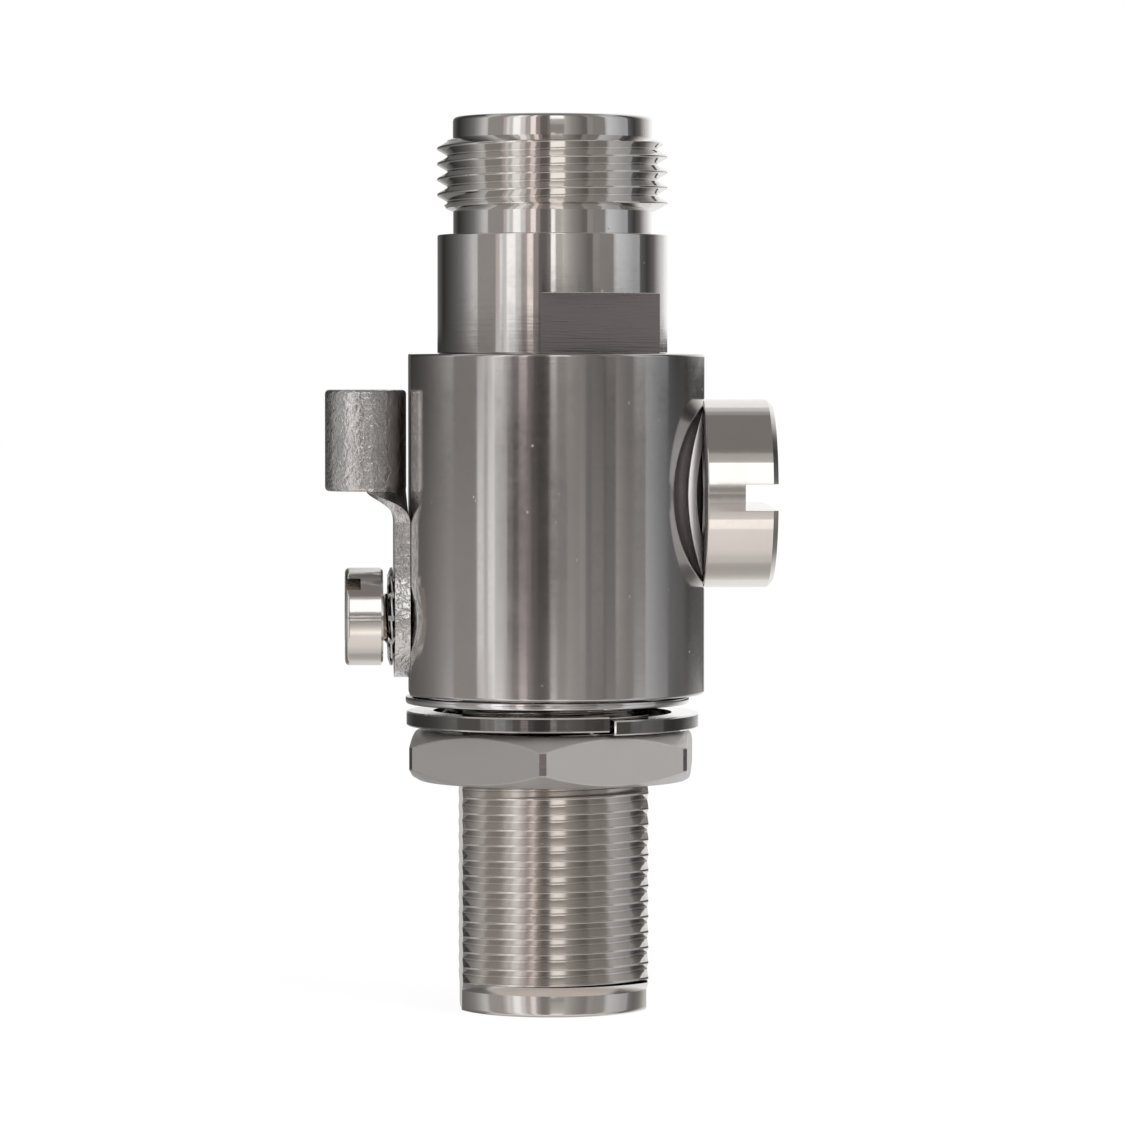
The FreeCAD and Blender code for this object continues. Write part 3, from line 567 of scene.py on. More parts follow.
class Shape:
    """A mesh in millimetres while it is being worked."""

    def __init__(self) -> None:
        """Start with nothing."""
        self.bm = bmesh.new()

    def _line(self, points: Outline, closed: bool) -> list:
        """Add a line through (radius, height) points in the XZ plane.

        Args:
            points: Corners of the line.
            closed: Whether the last one joins the first.

        Returns:
            The line's corners and edges.
        """
        corners = [self.bm.verts.new((radius, 0.0, height)) for radius, height in points]
        pairs = list(zip(corners, corners[1:]))
        if closed:
            pairs.append((corners[-1], corners[0]))
        return corners + [self.bm.edges.new(pair) for pair in pairs]

    def _weld(self) -> None:
        """Merge doubled corners and face everything outwards."""
        bmesh.ops.remove_doubles(self.bm, verts=self.bm.verts, dist=WELD)
        bmesh.ops.recalc_face_normals(self.bm, faces=self.bm.faces)

    def everything(self) -> list:
        """All corners, edges and faces."""
        return [*self.bm.verts, *self.bm.edges, *self.bm.faces]

    def turn(self, points: Outline, segments: int = SEGMENTS) -> "Shape":
        """Spin an outline all the way round Z.

        Args:
            points: Closed outline, or one that starts and ends on the axis.
            segments: Flats round the turn.

        Returns:
            This shape.
        """
        closed = points[0][0] > 0 or points[-1][0] > 0
        bmesh.ops.spin(self.bm, geom=self._line(points, closed), cent=(0, 0, 0),
                       axis=(0, 0, 1), angle=math.tau, steps=segments, use_merge=True)
        self._weld()
        return self

    def coil(self, points: Outline, angle: float, rise: float,
             segments: int = SEGMENTS) -> "Shape":
        """Spin a closed outline part of the way round while it climbs, and close its ends.

        Args:
            points: Closed outline.
            angle: Radians to turn.
            rise: Height gained over the turn.
            segments: Flats along it.

        Returns:
            This shape.
        """
        bmesh.ops.spin(self.bm, geom=self._line(points, True), cent=(0, 0, 0), axis=(0, 0, 1),
                       dvec=(0, 0, rise / segments), angle=angle, steps=segments)
        self._weld()
        bmesh.ops.holes_fill(self.bm, edges=self.bm.edges)
        self._weld()
        return self

    def threaded(self, thread: Thread, below: Outline, above: Outline = (),
                 segments: int = 96) -> "Shape":
        """Wind a thread and carry its ends on as turned surfaces.

        Args:
            thread: The thread.
            below: Outline that goes on from its lower end.
            above: Outline that goes on from its upper end; with none, the first one ends
                just above the thread and closes on it.
            segments: Flats round each turn.

        Returns:
            This shape.
        """
        bmesh.ops.spin(self.bm, geom=self._line(thread.ridge(), False), cent=(0, 0, 0),
                       axis=(0, 0, 1), dvec=(0, 0, thread.pitch / segments),
                       angle=math.tau, steps=segments)
        turn = self.everything()
        for number in range(1, thread.turns()):
            copied = bmesh.ops.duplicate(self.bm, geom=turn)["geom"]
            bmesh.ops.translate(self.bm, vec=(0, 0, thread.pitch * number), verts=[
                item for item in copied if isinstance(item, bmesh.types.BMVert)])
        bmesh.ops.remove_doubles(self.bm, verts=self.bm.verts, dist=WELD)
        start, end = thread.limits[0][0], thread.limits[-1][0]
        for height, _ in thread.limits[1:-1]:
            self.slice(height)
        self.slice(start, clear_inner=True)
        self.slice(end, clear_outer=True)
        for corner in self.bm.verts:
            most = thread.most(corner.co.z)
            reach = corner.co.xy.length
            if reach > most:
                corner.co.xy = corner.co.xy * (most / reach)
        upper = self.ring(end)
        lower = self.extend(self.ring(start), below)
        if above:
            upper = self.extend(upper, above)
            for ring in (lower, upper):
                bmesh.ops.contextual_create(self.bm, geom=ring)
        else:
            bmesh.ops.bridge_loops(self.bm, edges=[*lower, *upper])
        self._weld()
        return self

    def slice(self, height: float, **clear: bool) -> None:
        """Cut the shape level at a height, and clear one side of it if asked."""
        bmesh.ops.bisect_plane(self.bm, geom=self.everything(), dist=WELD / 10,
                               plane_co=(0, 0, height), plane_no=(0, 0, 1), **clear)

    def ring(self, height: float) -> Edges:
        """Open edges that lie level at a height."""
        return [edge for edge in self.bm.edges if edge.is_boundary
                and all(abs(corner.co.z - height) < WELD for corner in edge.verts)]

    def extend(self, ring: Edges, points: Outline) -> Edges:
        """Carry a ring on through (radius, height) points and return the last ring.

        Args:
            ring: Edges of the ring.
            points: Points that it is carried through.

        Returns:
            Edges of the last ring.
        """
        for radius, height in points:
            made = bmesh.ops.extrude_edge_only(self.bm, edges=ring)["geom"]
            corners = {item for item in made if isinstance(item, bmesh.types.BMVert)}
            for corner in corners:
                flat = corner.co.xy.normalized() * radius
                corner.co = (flat.x, flat.y, height)
            ring = [item for item in made if isinstance(item, bmesh.types.BMEdge)
                    and corners.issuperset(item.verts)]
        return ring

    def block(self, low: Sequence[float], high: Sequence[float]) -> "Shape":
        """Add a box between two corners.

        Args:
            low: Lowest corner.
            high: Highest corner.

        Returns:
            This shape.
        """
        size = Vector(high) - Vector(low)
        place = Matrix.Translation((Vector(low) + Vector(high)) / 2)
        bmesh.ops.create_cube(self.bm, size=1.0, matrix=place @ Matrix.Diagonal((*size, 1.0)))
        return self

    def place(self, turned: Turned, centre: Sequence[float] = (0, 0, 0)) -> "Shape":
        """Lay the shape's Z axis along the piece's own axis and move it to its place.

        Args:
            turned: Where the shape's Z axis points.
            centre: Where its origin goes.

        Returns:
            This shape.
        """
        matrix = Matrix.Translation(centre) @ Matrix.Rotation(
            math.radians(turned.value), 4, "Y")
        bmesh.ops.transform(self.bm, matrix=matrix, verts=self.bm.verts)
        return self

    def spun(self, degrees: float) -> "Shape":
        """Turn the shape about Z.

        Args:
            degrees: Angle, from +X towards +Y.

        Returns:
            This shape.
        """
        bmesh.ops.rotate(self.bm, cent=(0, 0, 0), verts=self.bm.verts,
                         matrix=Matrix.Rotation(math.radians(degrees), 3, "Z"))
        return self

    def cleared(self, point: Sequence[float], facing: Sequence[float]) -> "Shape":
        """Cut away what lies past a plane and close the cut.

        Args:
            point: A point of the plane.
            facing: The side that goes.

        Returns:
            This shape.
        """
        made = bmesh.ops.bisect_plane(self.bm, geom=self.everything(), dist=WELD / 10,
                                      plane_co=point, plane_no=facing, clear_outer=True)
        rim = [item for item in made["geom_cut"] if isinstance(item, bmesh.types.BMEdge)]
        bmesh.ops.holes_fill(self.bm, edges=rim)
        self._weld()
        return self

    def joined(self, other: "Shape") -> "Shape":
        """Take in another closed shape as it is.

        Args:
            other: The other shape, which is used up.

        Returns:
            This shape.
        """
        mesh = bpy.data.meshes.new("joined")
        other.bm.to_mesh(mesh)
        other.bm.free()
        self.bm.from_mesh(mesh)
        bpy.data.meshes.remove(mesh)
        return self

    def combined(self, other: "Shape", joining: Joining = Joining.CUT) -> "Shape":
        """Cut another closed shape away, or keep what both share.

        Args:
            other: The other shape, which is used up.
            joining: What is done with it.

        Returns:
            This shape.
        """
        mine, tool = self._loose("work"), other._loose("tool")
        step = mine.modifiers.new("join", "BOOLEAN")
        step.operation = joining.value
        step.solver = "EXACT"
        step.object = tool
        graph = bpy.context.evaluated_depsgraph_get()
        result = bpy.data.meshes.new_from_object(mine.evaluated_get(graph))
        self.bm.clear()
        self.bm.from_mesh(result)
        for item in (mine, tool):
            bpy.data.meshes.remove(item.data)
        bpy.data.meshes.remove(result)
        self._weld()
        return self

    def _loose(self, name: str) -> bpy.types.Object:
        """Put the shape in an object of its own for a boolean.

        Args:
            name: The object's name.

        Returns:
            The object.
        """
        mesh = bpy.data.meshes.new(name)
        self.bm.to_mesh(mesh)
        item = bpy.data.objects.new(name, mesh)
        bpy.context.collection.objects.link(item)
        return item

    def corners(self, least: float, where: Callable[[Vector], bool]) -> Edges:
        """Edges sharper than an angle whose middle is in a place.

        Args:
            least: Degrees between the two faces.
            where: Says whether a point counts.

        Returns:
            The edges.
        """
        found = []
        for edge in self.bm.edges:
            if len(edge.link_faces) != 2:
                continue
            middle = (edge.verts[0].co + edge.verts[1].co) / 2
            if edge.calc_face_angle(0.0) > math.radians(least) and where(middle):
                found.append(edge)
        return found

    def broken(self, width: float, least: float = 50.0,
               where: Callable[[Vector], bool] = lambda point: True,
               segments: int = 2) -> "Shape":
        """Break sharp edges.

        Args:
            width: Width of the bevel.
            least: Degrees between the faces of an edge that counts as sharp.
            where: Says which edges count, by their middle.
            segments: Flats across the bevel.

        Returns:
            This shape.
        """
        edges = self.corners(least, where)
        bmesh.ops.bevel(self.bm, geom=edges, offset=width, offset_type="OFFSET",
                        segments=segments, profile=0.5, affect="EDGES", material=-1,
                        clamp_overlap=True)
        return self

    def made(self, name: str, finish: Finish, body: str, *nodes: str,
             sharp: float = 32.0) -> bpy.types.Object:
        """Finish the shape as a piece.

        Args:
            name: The piece's name.
            finish: Its surface.
            body: The body that it rides on.
            nodes: Frame pieces that it stands for.
            sharp: Edges past this many degrees stay sharp.

        Returns:
            The piece.
        """
        open_edges = sum(not edge.is_manifold for edge in self.bm.edges)
        bmesh.ops.scale(self.bm, vec=(MM,) * 3, verts=self.bm.verts)
        mesh = bpy.data.meshes.new(name)
        self.bm.to_mesh(mesh)
        self.bm.free()
        mesh.shade_smooth()
        mesh.set_sharp_from_angle(angle=math.radians(sharp))
        mesh.materials.append(finish.material())
        piece = bpy.data.objects.new(name, mesh)
        bpy.context.collection.objects.link(piece)
        weights = piece.modifiers.new("flats", "WEIGHTED_NORMAL")
        weights.keep_sharp = True
        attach(piece, body)
        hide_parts(*nodes)
        LOG.info("%s on %s: %d faces, %d open edges", name, body, len(mesh.polygons), open_edges)
        return piece


def outward(face: bpy.types.MeshPolygon) -> Vector:
    """Direction from the main axis to the middle of a face."""
    return Vector((face.center.x, face.center.y, 0.0)).normalized()


def dressed(piece: bpy.types.Object, finish: Finish,
            where: Callable[[bpy.types.MeshPolygon], bool]) -> None:
    """Give some faces of a piece a finish of their own.

    Args:
        piece: The piece.
        finish: Their finish.
        where: Says which faces count.
    """
    piece.data.materials.append(finish.material())
    number = len(piece.data.materials) - 1
    for face in piece.data.polygons:
        if where(face):
            face.material_index = number


@dataclass(frozen=True)
class Housing:
    """Turned body with its threaded barrel, and the jack shell on top."""

    rim_radius: float = 6.87
    rim_length: float = 1.47
    lead_cone: float = 0.75
    ring_lap: float = 0.03
    core_inlet: float = 0.05
    rim_edge: float = 0.32
    mouth_radius: float = 4.3
    socket_radius: float = 4.05
    socket_depth: float = 9.1
    mouth_edge: float = 0.25
    line_radius: float = 3.5
    line_length: float = 1.9
    bead_radius: float = 5.0
    bead_length: float = 8.0
    chamber_radius: float = 5.5
    chamber_step: float = 1.0
    underside: float = 21.75
    thread_crest: float = 7.92
    thread_root: float = 7.24
    thread_place: float = 10.0
    core_radius: float = 6.8
    shell_core: float = 6.8
    pitch: float = 1.058
    relief: float = 0.7
    flats: float = 6.35
    gasket_groove: tuple[float, float, float] = (8.66, 9.74, 0.84)
    counterbore: float = 6.55
    seal_groove: tuple[float, float] = (7.58, 0.86)
    body_edge: float = 0.2
    neck_edge: float = 0.1
    neck_top: float = 53.4
    undercut_radius: float = 6.85
    undercut_top: float = 55.0
    coupling_top: float = 60.05
    coupling_crest: float = 7.95
    coupling_root: float = 7.26
    coupling_place: float = 58.81
    spigot: float = 6.5
    lead: float = 0.45
    wrench_flats: float = 6.35
    wrench_top: float = 49.3
    wrench_turn: float = -61.7
    wrench_edge: float = 0.13
    spotface: float = 10.25
    spotface_radius: float = 6.7
    port_radius: float = 4.0
    lug_flat: float = -9.88
    flat_edge: float = 0.12
    screw_hole: tuple[float, float] = (2.0, 3.55)

    def build(self) -> None:
        """Build the body and the shell."""
        self._body()
        self._shell()

    def _body(self) -> None:
        """Drum, chamber and lower barrel as one piece."""
        span = Span.of("main_body")
        top, reach = span.high.z, span.high.y
        spigot_end = Span.of("upper_jack_shell").low.z - SLACK
        port_height = Span.of("port_cap").middle.z
        screw_height = Span.of("lug_screw").middle.z
        start = self.rim_length
        cone = start + self.lead_cone
        ring_foot = cone - self.ring_lap
        cone_top = ring_foot - HAIR
        run_out = self.underside - self.relief
        thread = Thread(self.thread_crest, self.thread_root, self.pitch, self.thread_place, (
            (ring_foot, self.thread_crest + HAIR),
            (run_out - 0.3, self.thread_crest + HAIR), (run_out + SLACK, self.thread_root - SLACK)))
        seat = self.socket_depth + self.line_length
        floor = seat + self.bead_length
        groove_in, groove_out, groove_depth = self.gasket_groove
        seal_radius, seal_depth = self.seal_groove
        rim = rounded(self.rim_radius, 0.0, self.rim_edge, -1, 1)
        core = [
            *reversed(rim),
            (self.rim_radius, start),
            (self.rim_radius + SLACK, start),
            (self.thread_crest, cone_top),
            (self.core_radius, cone_top),
            (self.thread_root - self.ring_lap, run_out),
            (self.thread_root - SLACK, run_out + self.core_inlet),
            (self.thread_root - SLACK, self.underside),
            (groove_in, self.underside),
            (groove_in, self.underside + groove_depth),
            (groove_out, self.underside + groove_depth),
            (groove_out, self.underside),
            *reversed(rounded(reach, self.underside, self.body_edge, -1, 1)),
            *rounded(reach, top, self.body_edge, 1, 1),
            (seal_radius, top),
            (seal_radius, top - seal_depth),
            (self.counterbore, top - seal_depth),
            (self.counterbore, spigot_end),
            (self.chamber_radius, spigot_end),
            (self.chamber_radius, floor + self.chamber_step),
            (self.bead_radius, floor + self.chamber_step),
            (self.bead_radius, seat),
            (self.line_radius, seat),
            (self.line_radius, self.socket_depth),
            (self.socket_radius, self.socket_depth),
            (self.socket_radius, self.mouth_edge),
            (self.mouth_radius, 0.0),
        ]
        shape = Shape().turn(core)
        shape.cleared((self.lug_flat, 0, 0), (-1, 0, 0))
        ring = Shape().threaded(thread, [(self.core_radius + HAIR, ring_foot)])
        far = reach + 5
        for part in (shape, ring):
            for side in (-1, 1):
                low, high = sorted((side * self.flats, side * (self.thread_crest + 2)))
                part.combined(Shape().block((low, -far, -1),
                                            (high, far, self.underside - SLACK)))
        disc = Shape().turn([(0, 0), (self.spotface_radius, 0), (self.spotface_radius, 4), (0, 4)])
        shape.combined(disc.place(Turned.PORT, (self.spotface, 0, port_height)))
        port = Shape().turn([(0, 0), (self.port_radius, 0), (self.port_radius, far), (0, far)], 96)
        shape.combined(port.place(Turned.PORT, (0.0, 0, port_height)))
        radius, depth = self.screw_hole
        hole = Shape().turn([(0, -depth), (radius, -depth), (radius, 3), (0, 3)], 64)
        shape.combined(hole.place(Turned.LUG, (self.lug_flat, 0, screw_height)))
        shape.broken(self.flat_edge, 40.0, lambda point: abs(point.x - self.lug_flat) < HAIR
                     and abs(point.y) > 3)
        shape.joined(ring)
        piece = shape.made("turned_body", SATIN, "housing", "main_body")
        self._dress_body(piece)

    def _dress_body(self, piece: bpy.types.Object) -> None:
        """Give the barrel below the drum its own finish, and the flat for the lug the milled one,
        darkened as painted shade.

        Args:
            piece: The body.
        """
        limit = (self.underside - HAIR) * MM
        bore = self.socket_radius * MM * 1.02
        dressed(piece, THREAD,
                lambda face: face.center.z < limit and face.center.xy.length > bore)
        # The lug's flat: milled nickel darkened as painted shade.
        dressed(piece, MILLED, lambda face: face.normal.x < -0.999
                and abs(face.center.x / MM - self.lug_flat) < HAIR)

    def _shell(self) -> None:
        """Jack shell with its coupling thread, neck and bore."""
        span = Span.of("upper_jack_shell")
        top, bottom, reach = span.high.z, span.low.z, span.high.x
        shoulder = Span.of("main_body").high.z + SLACK
        bore_step = top - self.socket_depth
        roof = bore_step - self.line_length
        over = self.coupling_crest + HAIR
        thread = Thread(self.coupling_crest, self.coupling_root, self.pitch,
                        self.coupling_place, (
                            (self.undercut_top, self.undercut_radius),
                            (self.undercut_top + self.lead, over),
                            (self.coupling_top - self.lead, over),
                            (self.coupling_top, self.rim_radius)))
        rim = rounded(self.rim_radius, top, self.rim_edge, 1, 1, 4)
        edge = self.neck_edge
        outline = [
            (self.undercut_radius, self.neck_top),
            *reversed(rounded(reach, self.neck_top, edge, 1, 1)),
            *rounded(reach, shoulder, edge, -1, 1),
            (self.spigot, shoulder),
            (self.spigot, bottom),
            (self.bead_radius, bottom),
            (self.bead_radius, roof),
            (self.line_radius, roof),
            (self.line_radius, bore_step),
            (self.socket_radius, bore_step),
            (self.socket_radius, top - self.mouth_edge),
            (self.mouth_radius, top),
            *reversed(rim),
            (self.rim_radius, self.coupling_top - self.core_inlet),
            (self.shell_core, self.coupling_top - self.core_inlet),
            (self.shell_core, self.undercut_top + self.core_inlet),
            (self.undercut_radius, self.undercut_top + self.core_inlet),
        ]
        shape = Shape().turn(outline)
        for turn in (self.wrench_turn, self.wrench_turn + 180):
            tool = Shape().block((self.wrench_flats, -12, shoulder - 1),
                                 (12, 12, self.wrench_top)).spun(turn)
            shape.combined(tool)
        shape.broken(self.wrench_edge, 60.0, lambda point: abs(point.z - self.wrench_top) < HAIR
                     and point.xy.length < math.hypot(self.wrench_flats, 4.9))
        shape.joined(Shape().threaded(thread, [(self.shell_core - 0.3, self.undercut_top)]))
        piece = shape.made("jack_shell", BRIGHT, "housing", "upper_jack_shell")
        self._dress_shell(piece)

    def _dress_shell(self, piece: bpy.types.Object) -> None:
        """Give the two wrench flats their milled finish, darkened as painted shade, and their upper
        edges the half-matt one, which paints a highlight along them.

        Args:
            piece: The shell.
        """
        turn = math.radians(self.wrench_turn)
        facing = Vector((math.cos(turn), math.sin(turn), 0))
        # Wrench flats: milled nickel darkened as painted shade.
        dressed(piece, MILLED, lambda face: abs(face.normal.dot(facing)) > 0.99
                and abs(abs(face.center.dot(facing)) / MM - self.wrench_flats) < HAIR)
        # Upper edges of the flats: half-matt nickel that paints a highlight along them.
        dressed(piece, WARM, lambda face: 0.1 < abs(face.normal.z) < 0.95
                and abs(face.center.z / MM - self.wrench_top) < 0.2)


@dataclass(frozen=True)
class PortCap:
    """Slotted cap that closes the capsule's port."""

    head_radius: float = 6.5
    chamfer: float = 0.36
    edge: float = 0.12
    slot: tuple[float, float] = (1.8, 2.28)
    slot_turn: float = 1.4
    slot_edge: float = 0.07
    shank: float = 3.95
    shank_root: float = 3.42
    pitch: float = 1.0
    thread_place: float = 7.5
    lead: float = 0.4
    cup_radius: float = 2.95
    cup_floor: float = 9.18
    groove: tuple[float, float, float] = (3.15, 9.23, 10.15)

    def build(self) -> None:
        """Build the cap."""
        span = Span.of("port_cap")
        tip, face = span.low.x, span.high.x
        seat = Housing.spotface + SLACK
        groove_radius, groove_start, groove_end = self.groove
        thread = Thread(self.shank, self.shank_root, self.pitch, self.thread_place, (
            (tip, self.shank_root - SLACK), (tip + self.lead, self.shank),
            (groove_start - self.lead, self.shank), (groove_start, self.shank_root - SLACK)))
        cup = [(self.cup_radius, tip), (self.cup_radius, self.cup_floor)]
        head = [
            (groove_radius, groove_start),
            (groove_radius, groove_end),
            (self.shank, groove_end),
            (self.shank, seat),
            *reversed(rounded(self.head_radius, seat, self.edge, -1, 1)),
            (self.head_radius, face - self.chamfer),
            (self.head_radius - self.chamfer, face),
        ]
        shape = Shape().threaded(thread, cup, head, 72)
        width, depth = self.slot
        tool = Shape().block((-9, -width / 2, face - depth), (9, width / 2, face + 1))
        shape.combined(tool.spun(90 + self.slot_turn))
        shape.broken(self.slot_edge, 50.0, lambda point: point.z > face - depth - HAIR
                     and abs(point.x) < width / 2 + 0.3)
        shape.place(Turned.PORT, (0, 0, span.middle.z))
        piece = shape.made("slotted_cap", POLISHED, "cap", "port_cap")
        # The cap's underside gets the darker nickel: painted shade under the head.
        dressed(piece, PAINTED_SHADE, lambda face: face.normal.x < -0.9
                and face.center.x > self.cup_floor * MM * 1.05)


@dataclass(frozen=True)
class Fastening:
    """Hex nut, split washer and flat washer on the barrel."""

    across: float = 9.5
    corner_turn: float = -96.2
    face_inset: float = 0.3
    corner_spare: float = 0.3
    chamfer_angle: float = 30.0
    corner_break: float = 0.28
    nut_edge: float = 0.06
    bore: float = 7.96
    thread_root: float = 7.3
    lock_section: float = 1.02
    lock_radii: tuple[float, float] = (8.25, 10.1)
    lock_split: float = 2.2
    lock_turn: float = -68.0
    lock_rise: float = 0.25
    lock_edge: float = 0.1
    lock_bevel: float = 0.5
    flat_radii: tuple[float, float] = (8.3, 9.81)
    flat_edges: tuple[float, float] = (0.16, 0.08)

    def build(self) -> None:
        """Build the three pieces."""
        self._nut()
        self._lock_washer()
        self._flat_washer()

    def _nut(self) -> None:
        """Hex nut with chamfered corners and a threaded bore."""
        span = Span.of("bulkhead_nut")
        low, high = span.low.z, span.high.z
        corner = self.across / math.cos(math.pi / 6)
        shape = Shape()
        bmesh.ops.create_cone(shape.bm, cap_ends=True, segments=6, radius1=corner,
                              radius2=corner, depth=high - low + 2,
                              matrix=Matrix.Translation((0, 0, (low + high) / 2)))
        shape.broken(self.corner_break, 50.0,
                     lambda point: abs(point.z - (low + high) / 2) < 0.1, 1)
        shape.spun(self.corner_turn - 90)
        face = self.across - self.face_inset
        slope = math.tan(math.radians(self.chamfer_angle))
        far = corner + self.corner_spare
        fall = (far - face) * slope
        lens = Shape().turn([(0, low), (face, low), (far, low + fall), (far, high - fall),
                             (face, high), (0, high)])
        shape.combined(lens, Joining.KEEP)
        start, end = low - 1.0, high + 1.0
        thread = Thread(self.bore, self.thread_root, Housing.pitch, low, (
            (start, self.thread_root - SLACK), (start + 0.1, self.thread_root - SLACK),
            (start + 0.2, self.bore + HAIR), (end - 0.2, self.bore + HAIR),
            (end - 0.1, self.thread_root - SLACK), (end, self.thread_root - SLACK)))
        tool = Shape().threaded(thread, [(5, start - 0.2)], [(5, end + 0.2)])
        shape.combined(tool)
        shape.broken(self.nut_edge, 24.0, lambda point: point.xy.length > self.bore + 0.3
                     and abs(point.z - (low + high) / 2) > 0.5, 1)
        piece = shape.made("hex_nut", WARM, "nut", "bulkhead_nut", sharp=20.0)
        # Corner facets: milled nickel darkened as painted shade.
        dressed(piece, MILLED, lambda face: abs(face.normal.z) < 0.05
                and face.center.xy.length > self.across * MM * 1.1
                and face.normal.dot(outward(face)) > 0.995)

    def _lock_washer(self) -> None:
        """Split washer, one end higher than the other."""
        span = Span.of("bulkhead_lock_washer")
        inner, outer = self.lock_radii
        low = span.low.z
        high = low + self.lock_section
        edge = self.lock_edge
        outline = [
            (inner, low), (outer - edge, low), (outer, low + edge), (outer, high - edge),
            (outer - edge, high), (inner, high),
        ]
        turn = math.tau * (1 - self.lock_split / 360)
        shape = Shape().coil(outline, turn, self.lock_rise)
        shape.broken(self.lock_bevel, 60.0, lambda point: abs(point.y) < HAIR
                     and point.x > outer - edge - HAIR and low + 0.2 < point.z, 1)
        shape.spun(self.lock_turn)
        piece = shape.made("split_washer", STEEL, "washers", "bulkhead_lock_washer")
        # The washer's edge faces get the darker steel: painted shade.
        dressed(piece, PAINTED_EDGE_SHADE, lambda face: abs(face.normal.z) < 0.5
                and abs(face.normal.dot(outward(face))) > 0.95)

    def _flat_washer(self) -> None:
        """Stamped flat washer that hangs a little off centre."""
        span = Span.of("bulkhead_flat_washer")
        inner, outer = self.flat_radii
        lower_edge, upper_edge = self.flat_edges
        low, high = span.low.z, span.high.z
        outline = [
            (inner, low),
            *reversed(rounded(outer, low, lower_edge, -1, 1)),
            *rounded(outer, high, upper_edge, 1, 1),
            (inner, high),
        ]
        shape = Shape().turn(outline)
        shape.place(Turned.UPRIGHT, (span.middle.x, 0, 0))
        shape.made("flat_washer", STEEL, "washers", "bulkhead_flat_washer")


@dataclass(frozen=True)
class GroundLug:
    """Wire lug with its screw and toothed washer."""

    head_radius: float = 3.375
    head_length: float = 2.6
    head_edge: float = 0.3
    head_foot: float = 0.15
    shank: float = 1.95
    shank_root: float = 1.6
    pitch: float = 0.7
    slot: tuple[float, float] = (1.05, 1.05)
    slot_turn: float = -46.0
    washer_radii: tuple[float, float] = (2.25, 3.4)
    teeth: int = 12
    gap: tuple[float, float] = (0.34, 0.5)
    tooth_twist: float = 0.1
    eye_radius: float = 4.2
    hole_radius: float = 2.2
    sheet: float = 1.05
    sheet_edge: float = 0.09
    tongue_half: float = 3.6
    scoop_start: float = 33.6
    tube_bottom: float = 35.75
    tube_radii: tuple[float, float] = (1.85, 2.8)
    tube_edge: float = 0.28
    bore_edges: tuple[float, float] = (0.15, 0.2)
    columns: int = 14

    def build(self) -> None:
        """Build the three pieces."""
        self._lug()
        self._washer()
        self._screw()

    def _lug(self) -> None:
        """Pressed lug: eye and tongue, a scoop that curls up, and the rolled wire barrel."""
        span = Span.of("ground_lug")
        axis = Span.of("lug_screw").middle.z
        tube_axis = span.low.x + self.tube_radii[1]
        shape = self._strip(span, axis, tube_axis)
        hole = Shape().turn([(0, 8), (self.hole_radius, 8), (self.hole_radius, 13), (0, 13)], 64)
        shape.combined(hole.place(Turned.LUG, (0, 0, axis)))
        shape.broken(self.sheet_edge, 60.0)
        inner, outer = self.tube_radii
        lower_edge, upper_edge = self.bore_edges
        low, high = self.tube_bottom, span.high.z
        tube = Shape().turn([
            *reversed(rounded(inner, low, lower_edge, -1, -1)),
            *reversed(rounded(outer, low, self.tube_edge, -1, 1)),
            *rounded(outer, high, self.tube_edge, 1, 1),
            *reversed(rounded(inner, high, upper_edge, 1, -1)),
        ], 96)
        tube.place(Turned.UPRIGHT, (tube_axis, 0, 0))
        shape.joined(tube)
        shape.made("wire_lug", TIN, "lug", "ground_lug", sharp=50.0)

    def _strip(self, span: Span, axis: float, tube_axis: float) -> Shape:
        """Sheet of the lug from the foot of the eye to the root of the barrel.

        Args:
            span: Box of the lug.
            axis: Height of the screw's axis.
            tube_axis: Where the wire barrel's axis is along X.

        Returns:
            The bent sheet.
        """
        foot = [axis - self.eye_radius * math.cos(math.radians(angle))
                for angle in (5, 12, 20, 28, 36, 44, 52, 60, 68, 76, 84, 90)]
        straight = [axis + (self.scoop_start - axis) * share / 6 for share in range(1, 7)]
        scoop = [self.scoop_start + (self.tube_bottom - self.scoop_start) * share / 16
                 for share in range(1, 17)]
        rows = [*foot, *straight, *scoop, self.tube_bottom + 0.5]
        last = len(rows) - 1
        shape = Shape()
        for layer in (0, 1):
            sheet = bmesh.ops.create_grid(shape.bm, x_segments=2 * self.columns,
                                          y_segments=last, size=1.0)
            for corner in sheet["verts"]:
                height = rows[round((corner.co.y + 1) / 2 * last)]
                corner.co = self._bent(corner.co.x, height, layer, span, axis, tube_axis)
        rims = [edge for edge in shape.bm.edges if edge.is_boundary]
        bmesh.ops.bridge_loops(shape.bm, edges=rims)
        bmesh.ops.recalc_face_normals(shape.bm, faces=shape.bm.faces)
        return shape

    def _bent(self, across: float, height: float, layer: int, span: Span, axis: float,
              tube_axis: float) -> Vector:
        """Place of a point of the sheet once it is cut to width and rolled up.

        Args:
            across: Share of the half width, from -1 to 1.
            height: Height in millimetres.
            layer: 0 on the body's side, 1 on the far side.
            span: Box of the lug.
            axis: Height of the screw's axis.
            tube_axis: Where the wire barrel's axis is along X.

        Returns:
            The place in millimetres.
        """
        radius = self.tube_radii[1] - SLACK
        share = min(max((height - self.scoop_start) / (self.tube_bottom - self.scoop_start), 0), 1)
        bend = math.pi / 2 * share ** 2.8
        width = math.sqrt(max(self.eye_radius ** 2 - (axis - height) ** 2, 0.0))
        if height > axis:
            width = max(width, self.tongue_half)
        width += (radius * math.pi / 2 - self.tongue_half) * share
        back = span.high.x + (tube_axis + radius - span.high.x) * share
        thick = layer * (self.sheet + (radius - self.tube_radii[0] - self.sheet) * share)
        if bend < 1e-4:
            return Vector((back - thick, across * width, height))
        reach = width / bend
        angle = across * bend
        return Vector((back - reach + (reach - thick) * math.cos(angle),
                       (reach - thick) * math.sin(angle), height))

